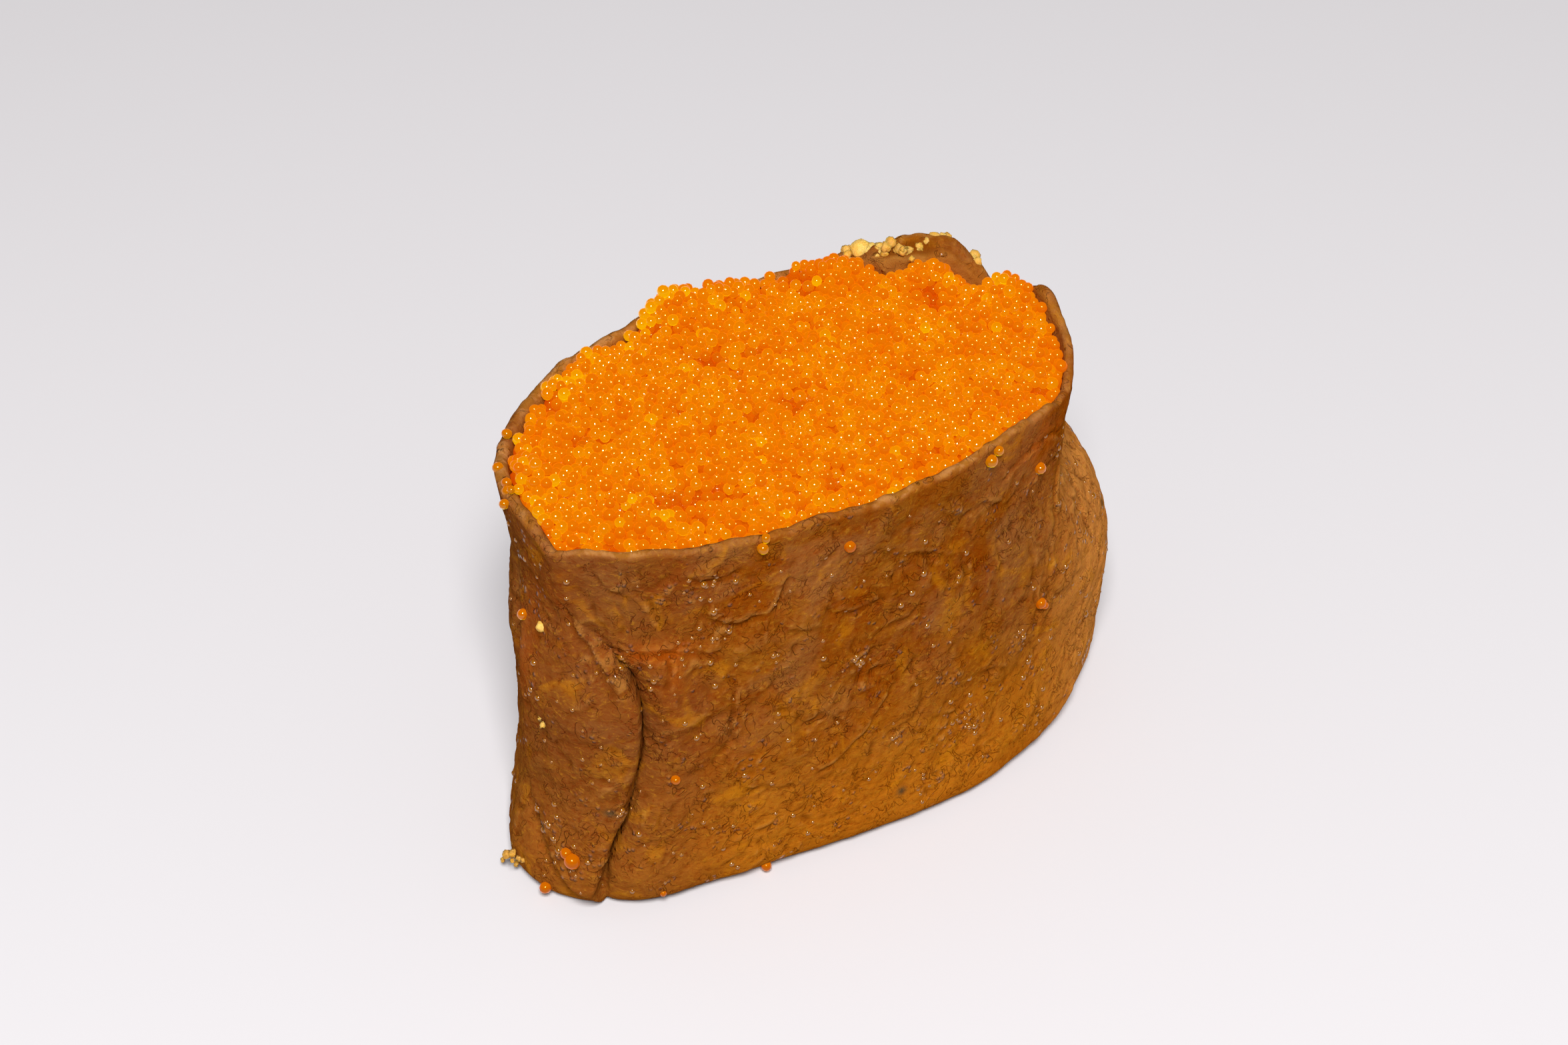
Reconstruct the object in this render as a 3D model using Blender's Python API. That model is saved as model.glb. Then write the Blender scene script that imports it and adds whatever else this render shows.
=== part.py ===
"""Inari sushi: an open pouch of simmered fried tofu skin, heaped with small fish roe.

The pouch stands on its closed end. Its wall is a loft of ovals that changes from a long base with
two bulging ends to a shorter, pointed mouth. A folded tongue of skin runs down the left corner of
the front, and the right end is pinched in under the rim. The roe is one solid out to its heaped,
uneven top. Sizes are in millimetres until a point is placed, and the front faces -Y.
"""

import math

import bmesh
import bpy
from mathutils import Vector, noise

MM = 0.001
OBJECT_NAME = "inari_sushi"

# The skin and the clearance between it and its filling.
SKIN = 2.2
FLOOR = 2.4
GAP = 0.3
BASE_ROUND = 2.2
FLOOR_ROUND = 2.0
DENT_SHARE = 0.85
INSIDE_SOFTENING = 2.6
CUT_ROUND = 0.45

# How far the wall reaches from the middle, at fractions of the way from the base to the rim.
LEFT_REACH = ((0.0, 35.3), (0.1, 35.0), (0.3, 33.1), (0.45, 32.9), (0.6, 33.0), (0.7, 32.3), (0.8, 31.7),
              (1.0, 32.6))
RIGHT_REACH = ((0.0, 31.4), (0.1, 31.8), (0.26, 32.3), (0.42, 32.2), (0.56, 30.6), (0.65, 28.4),
               (0.73, 26.3), (0.82, 26.4), (1.0, 26.1))
FRONT_REACH = ((0.0, 17.1), (0.1, 17.8), (0.35, 18.3), (0.6, 17.8), (0.85, 17.2), (1.0, 17.6))
BACK_REACH = ((0.0, 17.2), (0.1, 17.8), (0.35, 18.2), (0.6, 17.6), (0.85, 17.1), (1.0, 17.5))

# How square each quarter of the oval is at the base, and what the height adds to that.
SQUARE_FRONT_LEFT = (2.25, -0.05)
SQUARE_FRONT_RIGHT = (2.2, 0.1)
SQUARE_BACK_LEFT = (2.1, 0.3)
SQUARE_BACK_RIGHT = (2.2, 0.1)

# Both tips of the oval lie a little nearer the front than its middle.
LEFT_TIP_FORWARD = (4.4, -2.6)
RIGHT_TIP_FORWARD = (1.5, 0.0)

# The mouth comes to a corner on the left, and the foot stands out along the front. Each has a
# direction in degrees, a half width, a distance sideways and a distance forward.
CORNER = (193.0, 6.0, 0.77, 0.45)
FOOT = (283.0, 25.0, 0.0, 2.4)
CORNER_START = 0.6
FOOT_END = 0.35

# The rim: its usual height, then hills and dips as (direction in degrees, half width, height).
RIM_HEIGHT = 41.6
RIM_WAVES = ((180, 30, 0.5), (300, 30, -0.5), (326, 20, -1.8), (348, 14, 1.2), (358, 5, 1.4), (12, 8, -2.4),
             (41, 17, 2.4), (29, 7, 1.2), (82, 8, -0.8), (111, 18, 1.3))
RIM_RIPPLES = ((5, 40, 0.25), (9, 0, 0.2))

# The tongue of folded skin at the left corner: direction in degrees of its edges at each height.
TONGUE_LEFT = ((0, 199.0), (1, 198.3), (3.5, 195.3), (6.5, 191.5), (10, 187.5), (12, 184.5), (15, 182.0),
               (22, 182.5), (27, 181.0), (33, 177.0), (44, 176.0))
TONGUE_RIGHT = ((0, 200.0), (3, 198.6), (8, 199.4), (14, 201.6), (20, 203.2), (26, 202.6), (30, 199.5),
                (34, 193.0), (37, 190.0), (44, 188.0))
# How far it stands up, over what width its edges fall away in degrees, and between which heights it
# comes and goes.
TONGUE_RISE = 1.3
TONGUE_LEFT_EDGE = 4.0
TONGUE_RIGHT_EDGE = 3.5
TONGUE_COMES = (6.0, 16.0)
TONGUE_GOES = (22.0, 34.0)
# The crease beside it and the swelling past the crease: depth or rise, half width, degrees away.
CREASE_DEPTH = 2.1
CREASE_WIDTH = 2.7
CREASE_COMES = (0.0, 8.0)
CREASE_GOES = (21.0, 37.0)
SWELLING = (0.8, 4.0, 6.0)
# The valley on its other side.
VALLEY_DEPTH = 1.6
VALLEY_WIDTH = 4.5
VALLEY_AWAY = 4.0
VALLEY_COMES = (7.0, 15.0)
VALLEY_GOES = (26.0, 36.0)
# The end's lowest part sticks out: direction, half width, height, half height and distance.
EAR = (184.0, 9.0, 2.5, 6.0, 1.2)
# The hollow pinched in under the rim: its direction, half width, height, half height and depth.
PINCH = (345.0, 10.0, 30.5, 5.0, 4.0)

# The heap of roe: its edge above or below the rim, as (direction, half width, height), and its top,
# with its clumps as (x, y, half width, height).
ROE_EDGE = 0.1
ROE_EDGE_WAVES = ((172, 22, 0.5), (222, 18, -0.3), (350, 20, -0.1), (45, 16, -1.1), (24, 10, -0.2),
                  (100, 22, 0.4), (318, 18, 0.2))
ROE_DOME = 2.7
DOME_POWER = 2.2
ROE_MOUNDS = ((-7.0, 9.5, 7.0, 1.0), (-6.0, 15.5, 3.0, 2.8), (-0.5, 15.0, 2.6, 2.5), (8.0, 13.8, 2.6, 2.7),
              (13.0, 12.6, 2.4, 2.4), (-20.5, 12.5, 2.4, 1.4), (-16.5, 14.5, 2.0, 1.2),
              (-27.0, 8.5, 1.8, 1.9), (-29.5, 3.0, 2.6, 1.5), (-31.0, -2.5, 2.2, 1.0),
              (24.4, 0.9, 2.4, 2.6), (23.6, 3.6, 2.4, 1.6), (19.5, 6.5, 3.0, 1.0), (4.5, 15.2, 1.8, 1.0))
EDGE_POWER = 12
ROE_ROUGHNESS = 0.45
ROE_ROUGHNESS_SPAN = 4.2

# Mesh density.
AROUND = 88
DENSE_DIRECTION = 200.0
DENSE_SPREAD = 14.0
DENSE_GAIN = 4.0
OUTER_ROWS = (0.0, 0.012, 0.03, 0.055, 0.09, 0.14, 0.2, 0.27, 0.34, 0.41, 0.48, 0.54, 0.59, 0.64, 0.69,
              0.74, 0.8, 0.88, 0.95)
INNER_ROWS = (0.17, 0.28, 0.4, 0.52, 0.64, 0.76, 0.88)
ROE_TOP_RINGS = (0.97, 0.9, 0.81, 0.71, 0.6, 0.49, 0.38, 0.27, 0.16, 0.06)


def ease(start, end, value):
    """Rise smoothly from 0 at start to 1 at end."""
    part = min(max((value - start) / (end - start), 0.0), 1.0)
    return part * part * (3.0 - 2.0 * part)


def hill(value, centre, half_width):
    """A smooth hill of height 1."""
    return math.exp(-((value - centre) / half_width) ** 2)


def turn(direction, centre):
    """The angle in degrees from centre to direction, the short way round."""
    return (direction - centre + 180.0) % 360.0 - 180.0


def waves(direction, hills):
    """The sum of hills round the pouch, each as (direction, half width, height)."""
    return sum(height * hill(turn(direction, centre), 0.0, width) for centre, width, height in hills)


def through(knots, value):
    """A smooth curve through (place, size) pairs."""
    places = [place for place, _ in knots]
    sizes = [size for _, size in knots]
    value = min(max(value, places[0]), places[-1])
    last = len(knots) - 1
    low = max(index for index in range(last) if places[index] <= value)

    def slope(index):
        before, after = max(index - 1, 0), min(index + 1, last)
        return (sizes[after] - sizes[before]) / (places[after] - places[before])

    span = places[low + 1] - places[low]
    part = (value - places[low]) / span
    square, cube = part * part, part ** 3
    return ((2 * cube - 3 * square + 1) * sizes[low] + (cube - 2 * square + part) * span * slope(low)
            + (3 * square - 2 * cube) * sizes[low + 1] + (cube - square) * span * slope(low + 1))


def rim_height(angle):
    """The height of the rim above the ground, for an angle in degrees round the oval."""
    ripples = sum(size * math.sin(math.radians(count * angle + start)) for count, start, size in RIM_RIPPLES)
    return RIM_HEIGHT + waves(angle, RIM_WAVES) + ripples


def oval(angle, up):
    """A point of the smooth oval, for an angle in degrees and a fraction of the height."""
    across, along = math.cos(math.radians(angle)), math.sin(math.radians(angle))
    if across < 0:
        base, gain = SQUARE_FRONT_LEFT if along < 0 else SQUARE_BACK_LEFT
        reach = through(LEFT_REACH, up)
        tip = -(LEFT_TIP_FORWARD[0] + LEFT_TIP_FORWARD[1] * up) * abs(across) ** 3
    else:
        base, gain = SQUARE_FRONT_RIGHT if along < 0 else SQUARE_BACK_RIGHT
        reach = through(RIGHT_REACH, up)
        tip = -(RIGHT_TIP_FORWARD[0] + RIGHT_TIP_FORWARD[1] * up) * abs(across) ** 3
    depth = through(FRONT_REACH if along < 0 else BACK_REACH, up)
    power = 2.0 / (base + gain * up)
    x = reach * math.copysign(abs(across) ** power, across)
    y = depth * math.copysign(abs(along) ** power, along)
    corner = hill(turn(angle, CORNER[0]), 0.0, CORNER[1]) * ease(CORNER_START, 1.0, up)
    foot = hill(turn(angle, FOOT[0]), 0.0, FOOT[1]) * (1.0 - ease(0.0, FOOT_END, up))
    return Vector((x - CORNER[2] * corner - FOOT[2] * foot, y + tip - CORNER[3] * corner - FOOT[3] * foot))


def outward(angle, up):
    """The direction square to the oval, pointing out."""
    step = 0.6
    run = oval(angle + step, up) - oval(angle - step, up)
    return Vector((run.y, -run.x)).normalized()


def folds(point, height, soften=0.0):
    """How far the folds push the skin out or in at a point of the oval. The crease can be widened."""
    direction = math.degrees(math.atan2(point.y, point.x)) % 360.0
    left = through(TONGUE_LEFT, height)
    right = through(TONGUE_RIGHT, height)
    fade = (1.0 - ease(*CREASE_GOES, height)) * (0.5 + 0.5 * ease(*CREASE_COMES, height))
    crease = -CREASE_DEPTH * hill(direction, right, CREASE_WIDTH + soften) * fade
    swelling = SWELLING[0] * hill(direction, right + SWELLING[2], SWELLING[1]) * fade
    tongue = ease(left - TONGUE_LEFT_EDGE, left + TONGUE_LEFT_EDGE, direction)
    tongue *= TONGUE_RISE * (1 - ease(right - TONGUE_RIGHT_EDGE, right, direction))
    tongue *= ease(*TONGUE_COMES, height) * (1 - ease(*TONGUE_GOES, height))
    valley = -VALLEY_DEPTH * hill(direction, left - VALLEY_AWAY, VALLEY_WIDTH)
    valley *= ease(*VALLEY_COMES, height) * (1 - ease(*VALLEY_GOES, height))
    return crease + swelling + tongue + valley + bump(direction, height, EAR) - bump(direction, height, PINCH)


def bump(direction, height, place):
    """A smooth bump on the wall, from its direction, half width, height, half height and size."""
    around, width, middle, tall, size = place
    return size * hill(turn(direction, around), 0.0, width) * hill(height, middle, tall)


def quarter_inset(height, radius):
    """How far a rounded lower edge draws in at a height above its lowest point."""
    left_over = min(max(radius - height, 0.0), radius)
    return radius - math.sqrt(radius * radius - left_over * left_over)


def outside(angle, up):
    """A point of the outer face of the pouch."""
    height = up * rim_height(angle)
    point = oval(angle, up)
    push = folds(point, height) - quarter_inset(height, BASE_ROUND)
    return (point + outward(angle, up) * push).to_3d() + Vector((0, 0, height))


def inside(angle, up, inset, floor=FLOOR):
    """A point inset from the outer face, above a rounded floor. It follows only the dents."""
    height = up * rim_height(angle)
    point = oval(angle, up)
    dent = DENT_SHARE * min(folds(point, height, INSIDE_SOFTENING), 0.0)
    push = dent - inset - quarter_inset(height - floor, FLOOR_ROUND)
    return (point + outward(angle, up) * push).to_3d() + Vector((0, 0, height))


def directions():
    """The angles round the oval, closer together at the folded corner."""
    fine = 3600
    weights = [1.0 + DENSE_GAIN * hill(step * 360.0 / fine, DENSE_DIRECTION, DENSE_SPREAD)
               for step in range(fine)]
    share = sum(weights) / AROUND
    angles, filled = [], 0.0
    for step, weight in enumerate(weights):
        if filled >= len(angles) * share and len(angles) < AROUND:
            angles.append(step * 360.0 / fine)
        filled += weight
    return angles


def pouch_rings():
    """The rings of the pouch: up the outside, over the cut rim and down the inside."""
    angles = directions()
    rings = [[outside(angle, up) for angle in angles] for up in OUTER_ROWS]
    for inset, drop in ((0.0, CUT_ROUND), (CUT_ROUND, 0.0)):
        rings.append([lowered(outside(angle, 1.0), angle, inset, drop) for angle in angles])
    for inset, drop in ((SKIN - CUT_ROUND, 0.0), (SKIN, CUT_ROUND)):
        rings.append([lowered(inside(angle, 1.0, 0.0), angle, inset, drop) for angle in angles])
    return rings + inner_rings(angles, SKIN, FLOOR)[::-1]


def inner_rings(angles, inset, floor):
    """The rings of a face inset from the skin's outer one, from the floor up to below the rim."""
    heights = [floor, floor + FLOOR_ROUND * 0.4]
    rings = [[inside(angle, height / rim_height(angle), inset, floor) for angle in angles]
             for height in heights]
    return rings + [[inside(angle, up, inset, floor) for angle in angles] for up in INNER_ROWS]


def lowered(point, angle, inset, drop):
    """A point of the rim's cut edge, drawn in by inset and lowered by drop."""
    side = outward(angle, 1.0) * inset
    return point - Vector((side.x, side.y, drop))


def roe_edge(angle):
    """The height of the roe where it meets the skin."""
    return rim_height(angle) + ROE_EDGE + waves(angle, ROE_EDGE_WAVES)


def roe_top(out, edge):
    """A point of the heaped top: out is 1 at the skin, where it meets the edge, and 0 in the middle."""
    place = Vector((edge.x, edge.y)) * out
    mounds = sum(rise * hill((place - Vector((x, y))).length, 0.0, width) for x, y, width, rise in ROE_MOUNDS)
    rough = noise.noise(place.to_3d() / ROE_ROUGHNESS_SPAN) * ROE_ROUGHNESS
    smooth = edge.z * out ** 2 + RIM_HEIGHT * (1 - out ** 2) + ROE_DOME * (1.0 - out ** DOME_POWER)
    return place.to_3d() + Vector((0, 0, smooth + (mounds + rough) * (1 - out ** EDGE_POWER)))


def roe_rings():
    """The rings of the roe: up its side inside the skin, then in over the heaped top."""
    angles = directions()
    inset = SKIN + GAP
    rings = inner_rings(angles, inset, FLOOR + GAP)
    edges = [inside(angle, roe_edge(angle) / rim_height(angle), inset) for angle in angles]
    rings.append(edges)
    rings += [[roe_top(out, edge) for edge in edges] for out in ROE_TOP_RINGS]
    return rings


def loft(name, rings, colour, roughness, collection):
    """A closed solid through rings of equal count, with a flat first ring and a closed last one."""
    mesh = bmesh.new()
    loops = [[mesh.verts.new(point * MM) for point in ring] for ring in rings]
    count = len(rings[0])
    for low, high in zip(loops, loops[1:]):
        for index in range(count):
            after = (index + 1) % count
            mesh.faces.new((low[index], low[after], high[after], high[index]))
    mesh.faces.new(reversed(loops[0]))
    mesh.faces.new(loops[-1])
    bmesh.ops.triangulate(mesh, faces=mesh.faces)
    data = bpy.data.meshes.new(name)
    mesh.to_mesh(data)
    mesh.free()
    data.materials.append(finish(name, colour, roughness))
    solid = bpy.data.objects.new(name, data)
    collection.objects.link(solid)
    return solid


def finish(name, colour, roughness):
    """A plain material with the part's colour."""
    material = bpy.data.materials.new(name + "_finish")
    material.use_nodes = True
    shader = material.node_tree.nodes["Principled BSDF"]
    shader.inputs["Base Color"].default_value = (*colour, 1.0)
    shader.inputs["Roughness"].default_value = roughness
    shader.inputs["Metallic"].default_value = 0.0
    return material


def stand_at_origin(solids):
    """Move the solids together, so that the middle of their box stands on the origin."""
    points = [vertex.co for solid in solids for vertex in solid.data.vertices]
    middle = [(min(point[axis] for point in points) + max(point[axis] for point in points)) / 2
              for axis in range(2)]
    shift = Vector((middle[0], middle[1], min(point.z for point in points)))
    for solid in solids:
        for vertex in solid.data.vertices:
            vertex.co -= shift


def main():
    for old in list(bpy.data.objects):
        bpy.data.objects.remove(old, do_unlink=True)
    collection = bpy.data.collections.new(OBJECT_NAME)
    bpy.context.scene.collection.children.link(collection)
    pouch = loft("pouch", pouch_rings(), (0.36, 0.15, 0.045), 0.42, collection)
    roe = loft("roe", roe_rings(), (0.95, 0.29, 0.02), 0.2, collection)
    stand_at_origin([pouch, roe])


main()
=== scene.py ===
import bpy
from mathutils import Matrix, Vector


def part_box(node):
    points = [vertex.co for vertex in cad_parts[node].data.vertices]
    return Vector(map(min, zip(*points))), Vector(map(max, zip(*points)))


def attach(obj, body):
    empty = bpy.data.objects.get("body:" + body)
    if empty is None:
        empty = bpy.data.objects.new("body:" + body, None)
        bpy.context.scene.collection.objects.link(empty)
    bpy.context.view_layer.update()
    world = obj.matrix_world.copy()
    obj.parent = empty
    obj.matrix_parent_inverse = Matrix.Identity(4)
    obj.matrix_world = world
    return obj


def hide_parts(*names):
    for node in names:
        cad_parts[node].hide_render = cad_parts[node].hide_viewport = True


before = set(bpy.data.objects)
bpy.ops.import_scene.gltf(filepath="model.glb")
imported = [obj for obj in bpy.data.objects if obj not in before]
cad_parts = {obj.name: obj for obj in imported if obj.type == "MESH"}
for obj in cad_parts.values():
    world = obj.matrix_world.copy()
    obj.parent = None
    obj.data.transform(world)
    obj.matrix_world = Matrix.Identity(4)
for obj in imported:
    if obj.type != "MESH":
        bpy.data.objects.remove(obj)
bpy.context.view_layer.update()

import math

import bpy
import numpy as np
from mathutils import Matrix, Vector, kdtree, noise

MM = 0.001
SKIN_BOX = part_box("pouch")

# ---- The form of the pouch, in millimetres. The solids have the same form, with softer folds. ----

SKIN = 2.2
FLOOR = 2.4
GAP = 0.3
BASE_ROUND = 2.2
FLOOR_ROUND = 2.0

# How far the oval reaches each way, as (fraction of the height, distance).
LEFT_REACH = ((0.0, 35.3), (0.1, 35.0), (0.3, 33.1), (0.45, 32.9), (0.6, 33.0), (0.7, 32.3), (0.8, 31.7),
              (1.0, 32.6))
RIGHT_REACH = ((0.0, 31.4), (0.1, 31.8), (0.26, 32.3), (0.42, 32.2), (0.56, 30.6), (0.65, 28.4),
               (0.73, 26.3), (0.82, 26.4), (1.0, 26.1))
FRONT_REACH = ((0.0, 17.1), (0.1, 17.8), (0.35, 18.3), (0.6, 17.8), (0.85, 17.2), (1.0, 17.6))
BACK_REACH = ((0.0, 17.2), (0.1, 17.8), (0.35, 18.2), (0.6, 17.6), (0.85, 17.1), (1.0, 17.5))
# How square each quarter of the oval is (2 is an ellipse), and how much more so at the rim.
SQUARE_FRONT_LEFT = (2.25, -0.05)
SQUARE_FRONT_RIGHT = (2.2, 0.1)
SQUARE_BACK_LEFT = (2.1, 0.3)
SQUARE_BACK_RIGHT = (2.2, 0.1)
# How far the oval's ends are swept forward, the left one with what is added up to the rim.
LEFT_TIP_FORWARD = (4.4, -2.6)
RIGHT_TIP_FORWARD = 1.5
# The mouth's left end is pinched to a corner, as (direction, half width in degrees, distance).
CORNER = (193.0, 6.0, 0.9)
CORNER_WAY = (0.85, 0.5)
# The foot stands out along the front, in the same terms.
FOOT = (283.0, 25.0, 2.4)

# The rim's hills and dips as (direction, half width, height), and its ripples as (number of them
# round the rim, where they start, height).
RIM_HEIGHT = 41.6
RIM_WAVES = ((180, 30, 0.5), (300, 30, -0.5), (326, 20, -1.8), (348, 14, 1.2), (358, 5, 1.4), (12, 8, -2.4),
             (41, 17, 2.4), (29, 7, 1.2), (82, 8, -0.8), (111, 18, 1.3))
RIM_RIPPLES = ((5, 40, 0.25), (9, 0, 0.2))

# The edges of the tongue of folded skin, as (height, direction).
TONGUE_LEFT = ((0, 199.0), (1, 198.3), (3.5, 195.3), (6.5, 191.5), (10, 187.5), (12, 184.5), (15, 182.0),
               (22, 182.5), (27, 181.0), (33, 177.0), (44, 176.0))
TONGUE_RIGHT = ((0, 200.0), (3, 198.6), (8, 199.4), (14, 201.6), (20, 203.2), (26, 202.6), (30, 199.5),
                (34, 193.0), (37, 190.0), (44, 188.0))
TONGUE_RISE = 1.5
TONGUE_LEAN = 0.8
# Heights between which a fold comes or goes. The crease goes in two steps, each as (share, heights),
# and has this share of its depth at the ground.
TONGUE_COMES, TONGUE_GOES = (0, 4), (22, 34)
LEAN_COMES, LEAN_GOES = (0, 5), (26, 31)
VALLEY_COMES, VALLEY_GOES = (3, 9), (26, 36)
CREASE_COMES, CREASE_GOES = (0, 5), ((0.85, 27, 33), (0.15, 33, 40))
CREASE_FOOT = 0.35
CREASE_DEPTH = 2.2
CREASE_RECOVERY = 1.9
# The swelling beside the crease as (height, degrees past it, half width), and the valley before the
# tongue.
SWELLING = (0.8, 6.0, 4.0)
VALLEY_DEPTH, VALLEY_AWAY, VALLEY_WIDTH = 1.6, 1.6, 2.4
# Each as (degrees round the oval, half width, height, half height, distance out).
EAR = (184.0, 9.0, 2.5, 6.0, 1.2)
PINCH = (345.0, 10.0, 30.5, 5.0, -4.0)

# How far above the rim the roe meets the skin, and the heap's mounds as (x, y, half width, height).
ROE_EDGE = 0.1
ROE_EDGE_WAVES = ((172, 22, 0.5), (222, 18, -0.3), (350, 20, -0.1), (45, 16, -1.1), (24, 10, -0.2),
                  (100, 22, 0.4), (318, 18, 0.2))
ROE_DOME = 2.7
ROE_MOUNDS = ((-7.0, 9.5, 7.0, 1.0), (-6.0, 15.5, 3.0, 2.8), (-0.5, 15.0, 2.6, 2.5), (8.0, 13.8, 2.6, 2.7),
              (13.0, 12.6, 2.4, 2.4), (-20.5, 12.5, 2.4, 1.4), (-16.5, 14.5, 2.0, 1.2),
              (-27.0, 8.5, 1.8, 1.9), (-29.5, 3.0, 2.6, 1.5), (-31.0, -2.5, 2.2, 1.0),
              (24.4, 0.9, 2.4, 2.6), (23.6, 3.6, 2.4, 1.6), (19.5, 6.5, 3.0, 1.0), (4.5, 15.2, 1.8, 1.0))
# How far eggs lie out over the rim, as (direction, half width in degrees, distance).
ROE_SPILLS = ((110, 7, 1.4), (94, 7, 1.2), (151, 6, 1.5), (160, 3, 1.8), (173, 9, 1.4), (344, 6, 0.8),
              (330, 4, 0.9), (318, 4, 0.8), (306, 3, 0.6), (292, 3, 0.5))

# The cut edge of the skin: how wide it is round the mouth.
RIM_WIDTH = 1.1
RIM_WIDTH_WAVES = ((168, 14, 0.1), (200, 12, -0.3), (41, 16, 2.3), (300, 36, -0.35), (345, 24, -0.3),
                   (110, 40, 0.2))
RIM_CROWN = 0.28
# Where the rim is rolled and lumpy, as (direction, half width).
ROLLED = (41, 17)
# What makes the rim ragged, as (span of the lumps, where in the noise, height).
RAGGED = ((1.7, 3.3, 0.30), (5.0, 8.1, 0.35), (0.8, 5.7, 0.08))

# Columns and rows of the skin's mesh. The underside's rows lie at these distances in from the wall.
AROUND = 590
UNDERSIDE = (7.0, 3.4, 1.2)
OUTER_ROWS = 142
RIM_ROWS = 8
LINING_ROWS = 12
# The front's share of the columns, and where the back ends.
FRONT_SHARE = 0.64
BACK_ENDS = 175.0

# Creases that can be told apart, each as its depth, the step up to the skin on its left as it
# runs (minus: on its right), and its places as (degrees round the oval, height).
CREASES = (
    (0.55, 0.35, (202, 31.5), (216, 30.8), (226, 30.1), (234, 29.5)),
    (0.40, 0.20, (221, 30.5), (222, 28.5), (221.5, 26.5)),
    (0.30, 0.55, (190, 37.5), (195, 32.4), (201, 30.3), (207, 27.6), (208.5, 26)),
    (0.25, 0.10, (217, 41), (216.5, 38.5)),
    (0.25, -0.10, (212, 41), (212.3, 38.5)),
    (0.35, 0.25, (203.5, 41), (206.5, 38.5), (213, 37)),
    (0.40, -0.25, (214, 38), (218, 35.2), (220.5, 32)),
    (0.40, 0.25, (226, 38.8), (231, 38.1), (235.5, 38.2), (238.5, 39)),
    (0.45, 0.30, (233, 37.3), (230, 34.2), (235, 32.6), (243, 33), (246, 35.1), (248, 38)),
    (0.40, 0.20, (256, 40.5), (255, 37.2), (252.5, 35.8)),
    (0.45, 0.30, (253.5, 31.8), (256, 30.4), (260.5, 29.7), (266.5, 30)),
    (0.40, 0.25, (235, 27), (236.3, 24.8), (235.5, 20.3), (237, 17.2)),
    (0.30, 0.20, (243.5, 32.3), (247, 30.2), (252, 29.3), (255, 28)),
    (0.35, 0.30, (248, 18.1), (251, 18.9), (254.7, 18.3), (258, 15.8)),
    (0.30, 0.35, (251, 11.4), (255, 12.6), (260, 14.3), (264, 17.3), (266, 20)),
    (0.25, 0.20, (234, 14.4), (238.5, 12.8), (245, 11.5), (251, 11)),
    (0.40, 0.25, (257.5, 23.4), (260.5, 23.9), (263, 24.3)),
    (0.35, 0.20, (260, 22), (265.5, 21.4)),
    (0.45, 0.25, (263, 25.9), (266, 26.2), (269, 26.4), (270.2, 28)),
    (0.30, 0.20, (249, 6.9), (254, 5.7), (258, 5.5), (262, 5.2)),
    (0.45, 0.35, (263, 36), (266.8, 34), (270.5, 33), (277, 31)),
    (0.35, -0.20, (268, 34.5), (269, 35.6), (269.3, 37.6)),
    (0.35, 0.25, (278.3, 31.3), (279.2, 28.9), (279, 24.6)),
    (0.35, 0.20, (271, 13), (274.8, 11.8), (276.5, 12.3)),
    (0.40, 0.30, (280, 15.2), (284, 14.3), (290, 12.5)),
    (0.40, 0.45, (273, 37.3), (278.5, 35), (284, 35.2), (290, 33.5), (297, 33.8)),
    (0.40, 0.25, (296.5, 26), (295, 20), (296, 16)),
    (0.35, 0.20, (303.5, 25), (300, 21.5), (299.5, 18)),
    (0.35, 0.55, (288, 1.2), (301, 1.6), (312, 3.2), (322, 7.5), (330, 11)),
    (0.35, 0.30, (318, 35), (308, 37.2), (297, 37.4), (287, 36)),
    (0.35, -0.25, (320, 34.5), (313, 33.5), (305, 33.7), (300, 32.4)),
    (0.40, 0.30, (319, 33.5), (312, 29), (305, 24)),
    (0.40, -0.30, (320, 32.5), (316, 27), (313, 19)),
    (0.45, 0.30, (322, 32), (321, 26), (321, 18)),
    (0.40, -0.30, (324, 31.5), (326, 26), (329, 20)),
    (0.40, 0.25, (326, 31), (331, 27), (338, 22)),
)
RANDOM_CREASES = 1300
CREASE_SEED = 12
CREASE_WOBBLE = 0.45

# Clusters of wet blisters, as (degrees round the oval, height, spread in mm, number).
BLISTERS = ((206, 29.3, 2.2, 9), (184, 9, 3.0, 16), (207.5, 13, 1.6, 8), (243.5, 27.6, 0.8, 3),
            (260, 23.6, 1.6, 8), (291, 16, 1.4, 7), (277, 10, 2.6, 12), (266, 12.5, 0.9, 4),
            (229, 38.4, 2.0, 6), (235, 32, 1.4, 5), (226, 30.2, 3.5, 9), (196, 6, 2.5, 8))
LOOSE_BLISTERS = 170
BLISTER_SEED = 21
# Drops of liquid besides the clusters, most of them in creases.
DROPLETS = 380
DROPLET_SEED = 5
# The smallest drop, how much larger the largest is, and how far each is sunk in, as a share of its size.
DROPLET_SIZE, DROPLET_SPREAD, DROPLET_SINK = 0.34, 0.45, 0.22
# The heights between which wrinkles, blisters and drops lie.
WRINKLED = (2.0, 38.0)
DAMP = (2.0, 39.0)

# Where orange liquid has soaked in, as (degrees, height, half width in degrees, half height, strength).
STAINS = ((306, 38, 14, 3.5, 0.9), (180, 28, 4, 9, 0.5), (218, 30.6, 12, 1.1, 0.8), (223, 27, 2, 3, 0.6),
          (190, 36, 6, 4, 0.45), (300, 2, 30, 1.5, 0.35), (250, 38.5, 8, 1.2, 0.35), (30, 42, 6, 2, 0.7))
# Dark green flecks of seasoning, as (degrees, height, size in mm).
FLECKS = ((204, 13.4, 0.35), (267, 5.3, 0.45), (336.8, 19.7, 0.5), (186, 9, 0.4), (120, 22, 0.4),
          (60, 12, 0.4))


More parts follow.
